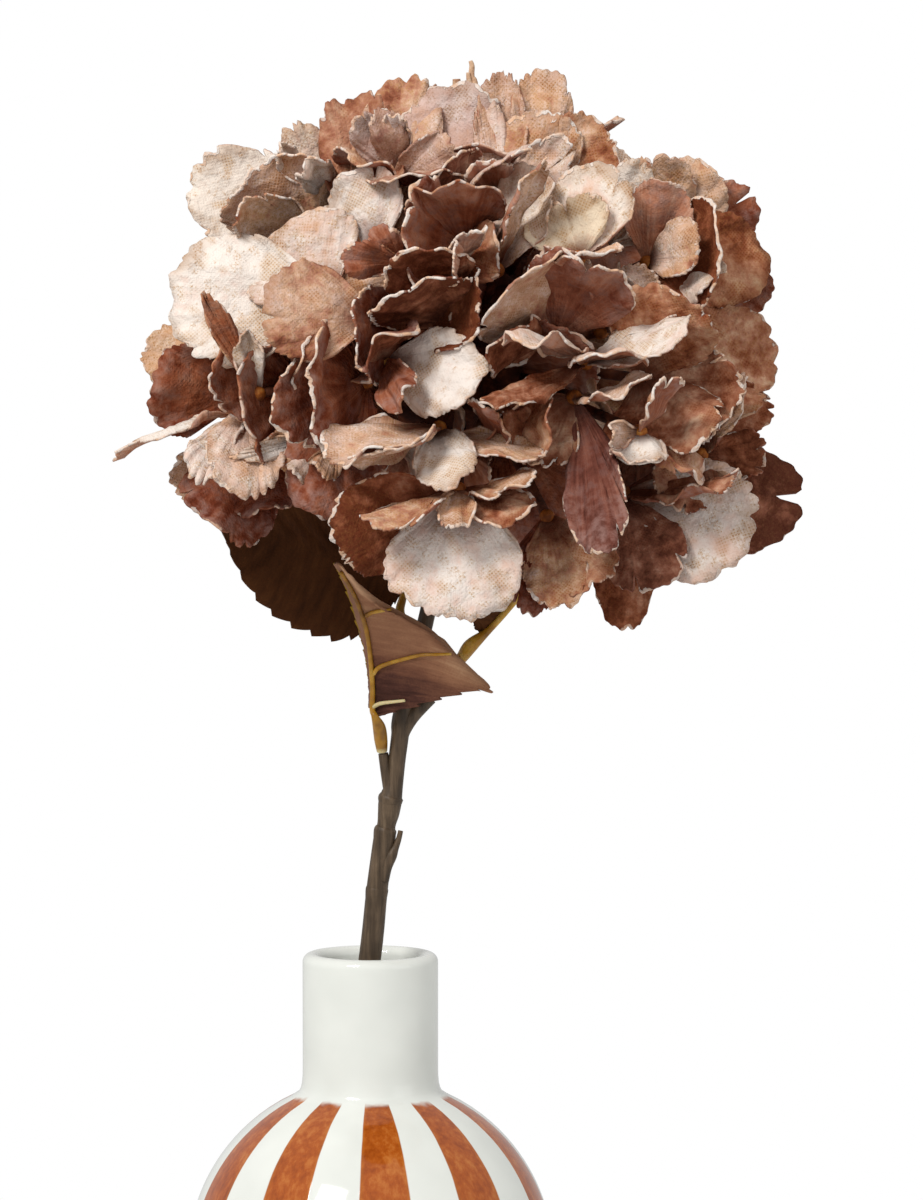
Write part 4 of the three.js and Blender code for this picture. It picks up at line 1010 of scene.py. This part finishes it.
def petal_sheet(pile, root, end, width, face, bend, cup, k, tone, rim, size=PETAL_GRID):
    """Bends a flat outlined petal along and across, and adds it to the pile."""
    chord = np.linalg.norm(end - root)
    along = (end - root) / chord
    normal = unit(np.array(face, float) - np.dot(face, along) * along)
    across = np.cross(along, normal)
    arch, hollow = arc_angle(bend), arc_angle(cup)
    length = chord * (arch / 2) / math.sin(arch / 2)
    s = (np.linspace(0, 1, size[0]) ** 0.8)[:, None]
    v = np.linspace(-1, 1, size[1])[None, :]
    half, far = petal_outline(k, v, width, length)
    x = (1 - s) * 0.8 * v + s * half
    y = s * far
    phi = (y / length - 0.5) * arch
    forward = length / arch * (np.sin(phi) + math.sin(arch / 2))
    out = -length / arch * (np.cos(phi) - math.cos(arch / 2))
    psi = x / (width / 2) * hollow / 2 * (0.3 + 0.7 * y / length)
    sideways = x * np.sinc(psi / math.pi)
    height = width / hollow * (1 - np.cos(psi)) + petal_relief(k, x, y, s, v)
    twist = math.radians(-14 + 28 * draw(k, 9)) * (y / length - 0.5)
    lateral = sideways * np.cos(twist) - height * np.sin(twist)
    lift = sideways * np.sin(twist) + height * np.cos(twist)
    grid = (root + across * lateral[..., None] + along * (forward - lift * np.sin(phi))[..., None]
            + normal * (out + lift * np.cos(phi))[..., None])
    add_sheet(pile, grid, x, y, s, v, (1 - s) * np.hypot(half, far), k, tone, rim)


def sum_of_spots(spots, place):
    """The values of spots given as ((x, z), reach, value), each fading out around its middle."""
    return sum(value * math.exp(-((place[0] - at[0]) ** 2 + (place[2] - at[1]) ** 2) / reach ** 2)
               for at, reach, value in spots)


def add_sheet(pile, grid, x, y, s, v, from_edge, k, tone, rim, loop=False):
    """Thickens a petal or floret, and notes what its material needs at each point.

    skin is tone, side (1 on the face, 0 on the back) and rim paint; ring is the way out from the root,
    the way around and the mm to the edge; place and ray are where to read patterns that lie flat on the
    petal and that fan out from its root, moved apart from petal to petal.
    """
    shape = grid.shape[:2]
    x, y, s, v, from_edge = [np.broadcast_to(n, shape).ravel() for n in (x, y, s, v, from_edge)]
    ones = np.ones_like(x)
    middle = grid[shape[0] // 2].mean(axis=0)
    hue = max(-1.0, min(1.0, sum_of_spots(HUE_SPOTS, middle)))
    hue = 0.5 + 0.5 * hue + 0.2 * (draw(k, 70) - 0.5)
    # The tone spots also darken petals where they lie in shadow and lighten others, as painted shade and
    # painted light.
    if middle[1] < 0:
        tone = max(0.0, min(PALEST, tone + sum_of_spots(TONE_AND_SHADE_SPOTS, middle)))
    skins = [np.stack([tone * ones, side * ones, rim * ones], axis=1) for side in (1.0, 0.0)]
    both = {"ring": [s, v, from_edge], "place": [x + 37.0 * k, y, 5.0 * k * ones],
            "ray": [11.0 * v + 7.0 * k, 1.6 * s, 3.0 * k * ones]}
    both = {key: np.tile(np.stack(values, axis=1), (2, 1)) for key, values in both.items()}
    thickness = PETAL_THICKNESS + (RIM_THICKNESS - PETAL_THICKNESS) * ramped(s, RIM_START)
    pile.add(thicken(grid, thickness.reshape(shape), loop), sheet_faces(*shape, loop),
             skin=np.concatenate(skins), hue=np.full(2 * x.size, hue), **both)


def floret_sheet(pile, i, middle, out, k):
    """A floret of the back: one cut sheet with four petals, drooping a little; gives its bead's place."""
    flow = np.array([0.5, 0.2, 1.0])
    flow = unit(flow - out * np.dot(out, flow))
    axis = unit(out + flow * (-0.3 - 0.1 * draw(i, 55)))
    side = unit(np.cross(axis, [0.2, 0.1, 1.0]))
    other = np.cross(axis, side)
    s = np.linspace(0.04, 1, FLORET_ROWS)[:, None]
    turn = (math.pi / 4 - np.linspace(0, 2 * math.pi, FLORET_COLUMNS, endpoint=False))[None, :]
    lobe = 0.36 + 0.64 * np.abs(np.cos(2 * turn)) ** 0.45
    size = FLORET_REACH + 3 * np.sin(turn + phase(i, 50)) + 2 * np.sin(2 * turn + phase(i, 51))
    edge = 0.95 + 0.05 * np.abs(np.sin(16 * turn)) ** 0.6 - 0.02 * np.sin(37 * turn) * np.sin(23 * turn + i)
    span = size * lobe * np.minimum(edge, 1.0)
    angle = turn + phase(i, 53)
    x, y = s * span * np.cos(angle), s * span * np.sin(angle)
    rise = FLORET_RISE * s ** 1.6 + 2.6 * s ** 2 * np.sin(3 * turn + phase(i, 52))
    rise = rise + 0.8 * s ** 3 * np.sin(13 * turn + i)
    rise = rise + 1.3 * ramped(s, CURL_START) ** 2 * np.sin(2 * turn + i) + crumple(k, x, y) * s
    grid = middle + axis * (rise + FLORET_LIFT)[..., None] + side * x[..., None] + other * y[..., None]
    tone = 0.35 + 0.6 * draw(i, 54)
    add_sheet(pile, grid, x, y, s, 2 * turn / math.pi, (1 - s) * span, k, tone, 0.6, loop=True)
    return middle + axis * FLORET_LIFT


def spread(n, count, start):
    """Direction n of a count of them that are spread evenly all around."""
    up = 1 - 2 * (n + 0.5) / count
    turn = n * GOLDEN_TURN + start
    flat = math.sqrt(1 - up * up)
    return np.array([flat * math.cos(turn), flat * math.sin(turn), up])


def back_florets():
    """The florets over the back, as (number, middle, way out)."""
    places = []
    for i in range(BACK_FLORETS):
        out = spread(i, BACK_FLORETS, 0.3)
        lowest = LEAF_LIMIT if out[1] < LEAF_DEPTH else UNDER_LIMIT
        if out[1] >= FRONT_LIMIT and out[2] >= lowest:
            places.append((i, HEAD_MIDDLE + BACK_RADII * out, out))
    return places


def inner_petal(pile, n, k):
    """A dark petal deep between the others, which keeps the core out of sight."""
    out = spread(n, INNER_PETALS, 0.8)
    slant = unit(np.array([math.sin(2.1 * n), math.cos(1.3 * n), math.cos(2.9 * n)]) + 0.3 * out)
    root = HEAD_MIDDLE + out * BACK_RADII * INNER_ROOT
    end = HEAD_MIDDLE + out * BACK_RADII * (INNER_END + 0.12 * draw(k, 60)) + slant * 9
    face = slant - out * np.dot(slant, out) + 0.1 * out
    width, tone = 24 + 8 * draw(k, 61), 0.2 + 0.3 * draw(k, 62)
    petal_sheet(pile, root, end, width, face, 30, 35, k, tone, 0.5, INNER_GRID)


def ball_grid(tilt, turn):
    """Points on a ball of radius 1, in rows from its top down."""
    flat = np.sin(tilt)
    return np.stack([flat * np.cos(turn), flat * np.sin(turn), np.cos(tilt) + 0 * turn], axis=-1)


def bead_points(middle):
    """A small round bead as points and faces."""
    tilt = (math.pi * np.arange(1, BEAD_ROWS) / BEAD_ROWS)[:, None]
    turn = (2 * math.pi * np.arange(BEAD_COLUMNS) / BEAD_COLUMNS)[None, :]
    points = np.concatenate([ball_grid(tilt, turn).reshape(-1, 3), [[0, 0, 1], [0, 0, -1]]])
    faces = [(a, d, c, b) for a, b, c, d in ring_faces(BEAD_ROWS - 1, BEAD_COLUMNS)]
    top, last = (BEAD_ROWS - 1) * BEAD_COLUMNS, (BEAD_ROWS - 2) * BEAD_COLUMNS
    for j in range(BEAD_COLUMNS):
        after = (j + 1) % BEAD_COLUMNS
        faces += [(top, j, after), (top + 1, last + after, last + j)]
    return middle + BEAD_RADIUS * points, faces


def make_core(material):
    """The smaller core in the middle, crumpled like packed petals."""
    tilt = (math.pi * np.linspace(0.02, 0.98, CORE_GRID[0]))[:, None]
    turn = (2 * math.pi * np.linspace(0, 1, CORE_GRID[1], endpoint=False))[None, :]
    dents = np.sin(7 * tilt + 3 * np.sin(3 * turn)) + np.sin(11 * turn + 4 * np.sin(5 * tilt))
    grid = ball_grid(tilt, turn) * (1 + 0.03 * dents)[..., None] * CORE_RADII + HEAD_MIDDLE
    pile = Pile()
    pile.add(thicken(grid, np.full(CORE_GRID, CORE_THICKNESS), True), sheet_faces(*CORE_GRID, True))
    return pile.build("core", material)


def make_head():
    fronts = [Pile() for _ in range(FRONT_PIECES)]
    back, inner, beads, stalks, sprig = Pile(), Pile(), Pile(), Pile(), Pile()
    k = 0

    def stalk(middle, end):
        base = HEAD_MIDDLE + 0.5 * (middle - HEAD_MIDDLE)
        stalks.add(*limb([unseen(base), unseen(end)], STALK_RADII, STALK_SIDES, 2))
        beads.add(*bead_points(end))

    for centre, *petals in FRONT_FLORETS + SMALL_FLORETS:
        root = seen(centre)
        stalk(root, root)
        for end, width, face, bend, cup, tone, rim in petals:
            petal_sheet(fronts[k % FRONT_PIECES], root, seen(end), width, face, bend, cup, k, tone, rim)
            k += 1
    for i, middle, out in back_florets():
        stalk(middle, floret_sheet(back, i, middle, out, k))
        k += 1
    for n in range(INNER_PETALS):
        inner_petal(inner, n, k + n)
    stalks.add(*limb(*HEAD_STEM, 2 * STALK_SIDES))
    for points, radii in SPRIG:
        sprig.add(*limb(points, radii, STALK_SIDES))
    petals = petal_material()
    pieces = [pile.build(f"front_petals_{n + 1}", petals) for n, pile in enumerate(fronts)]
    pieces.append(back.build("back_petals", petals))
    pieces.append(inner.build("inner_petals", petals))
    pieces.append(beads.build("beads", cloudy_material("bead", 0.6, "#6a3614", "#a45e24", "#cb944c")))
    pieces.append(stalks.build("stalks", cloudy_material("stalk", 0.7, "#2c1309", "#4d2413", "#6b3a22")))
    pieces.append(sprig.build("sprig", cloudy_material("sprig", 0.8, "#a87d62", "#c9a585", "#dcc6b2")))
    # Painted shade: the core's near-black browns stand for the shadow in the deep gaps between petals.
    pieces.append(make_core(cloudy_material("core", 0.9, "#2c1008", "#48200f", "#693620")))
    for piece in pieces:
        stand_for(piece, "hydrangea_head")


# Camera, floor and light
SENSOR_HEIGHT = 36.0
FLOOR_RADIUS = 0.29
FLOOR_MIDDLE = (0.02, 0, 0)
SKY_STRENGTH = 0.64
LIGHT_AIM = np.array([0.02, 0.0, 0.25])
LIGHTS = [
    ("key", (-0.7, -1.05, 1.3), 0.5, 22.5, (1.0, 0.985, 0.965)),
    ("side", (1.1, -0.7, 0.5), 0.8, 1.8, (1.0, 1.0, 1.0)),
]


def make_camera():
    camera = bpy.data.cameras.new("camera")
    eye = bpy.data.objects.new("camera", camera)
    bpy.context.scene.collection.objects.link(eye)
    eye.location = (EYE * MM).tolist()
    drop = EYE[2] - VIEW_MIDDLE[2]
    eye.rotation_euler = (math.pi / 2 - math.atan2(drop, -EYE[1]), 0, 0)
    camera.sensor_fit = "VERTICAL"
    camera.sensor_height = SENSOR_HEIGHT
    camera.lens = SENSOR_HEIGHT * math.hypot(EYE[1], drop) / VIEW_HEIGHT
    camera.clip_end = 20.0
    bpy.context.scene.camera = eye


def make_floor():
    bpy.ops.mesh.primitive_circle_add(vertices=96, radius=FLOOR_RADIUS, fill_type="NGON",
                                      location=FLOOR_MIDDLE)
    floor = bpy.context.object
    floor.name = "floor"
    paint = Paint("floor", 0.9)
    paint.shader.inputs["Base Color"].default_value = srgb("#e6e6e4")
    floor.data.materials.append(paint.material)


def make_sky():
    """White where the camera sees it, and softer as a light."""
    world = bpy.data.worlds.new("studio")
    bpy.context.scene.world = world
    world.use_nodes = True
    tree = world.node_tree
    sky = tree.nodes["Background"]
    sky.inputs["Color"].default_value = (1.0, 1.0, 1.0, 1.0)
    seen_directly = tree.nodes.new("ShaderNodeLightPath").outputs["Is Camera Ray"]
    strength = tree.nodes.new("ShaderNodeMapRange")
    tree.links.new(seen_directly, strength.inputs["Value"])
    strength.inputs["To Min"].default_value = SKY_STRENGTH
    strength.inputs["To Max"].default_value = 1.0
    tree.links.new(strength.outputs["Result"], sky.inputs["Strength"])


def make_lamp(name, place, size, power, colour):
    lamp = bpy.data.lights.new(name, "AREA")
    lamp.energy = power
    lamp.size = size
    lamp.color = colour
    holder = bpy.data.objects.new(name, lamp)
    bpy.context.scene.collection.objects.link(holder)
    holder.location = place
    aim = unit(LIGHT_AIM - np.array(place))
    holder.rotation_euler = (math.acos(-aim[2]), 0, math.atan2(aim[1], aim[0]) - math.pi / 2)


make_vase()
make_stem()
lit = front_leaf_material()
# The leaves behind take the darker copy of the fabric, whose darkness is painted shade.
dark = shaded_leaf_material()
yellow = rib_material()
for leaf_name in NETS:
    make_leaf(leaf_name, lit if leaf_name == "front_leaf" else dark)
    make_rib(leaf_name, yellow)
make_head()
make_camera()
make_floor()
make_sky()
for lamp_values in LIGHTS:
    make_lamp(*lamp_values)
bpy.context.scene.view_settings.view_transform = "Standard"
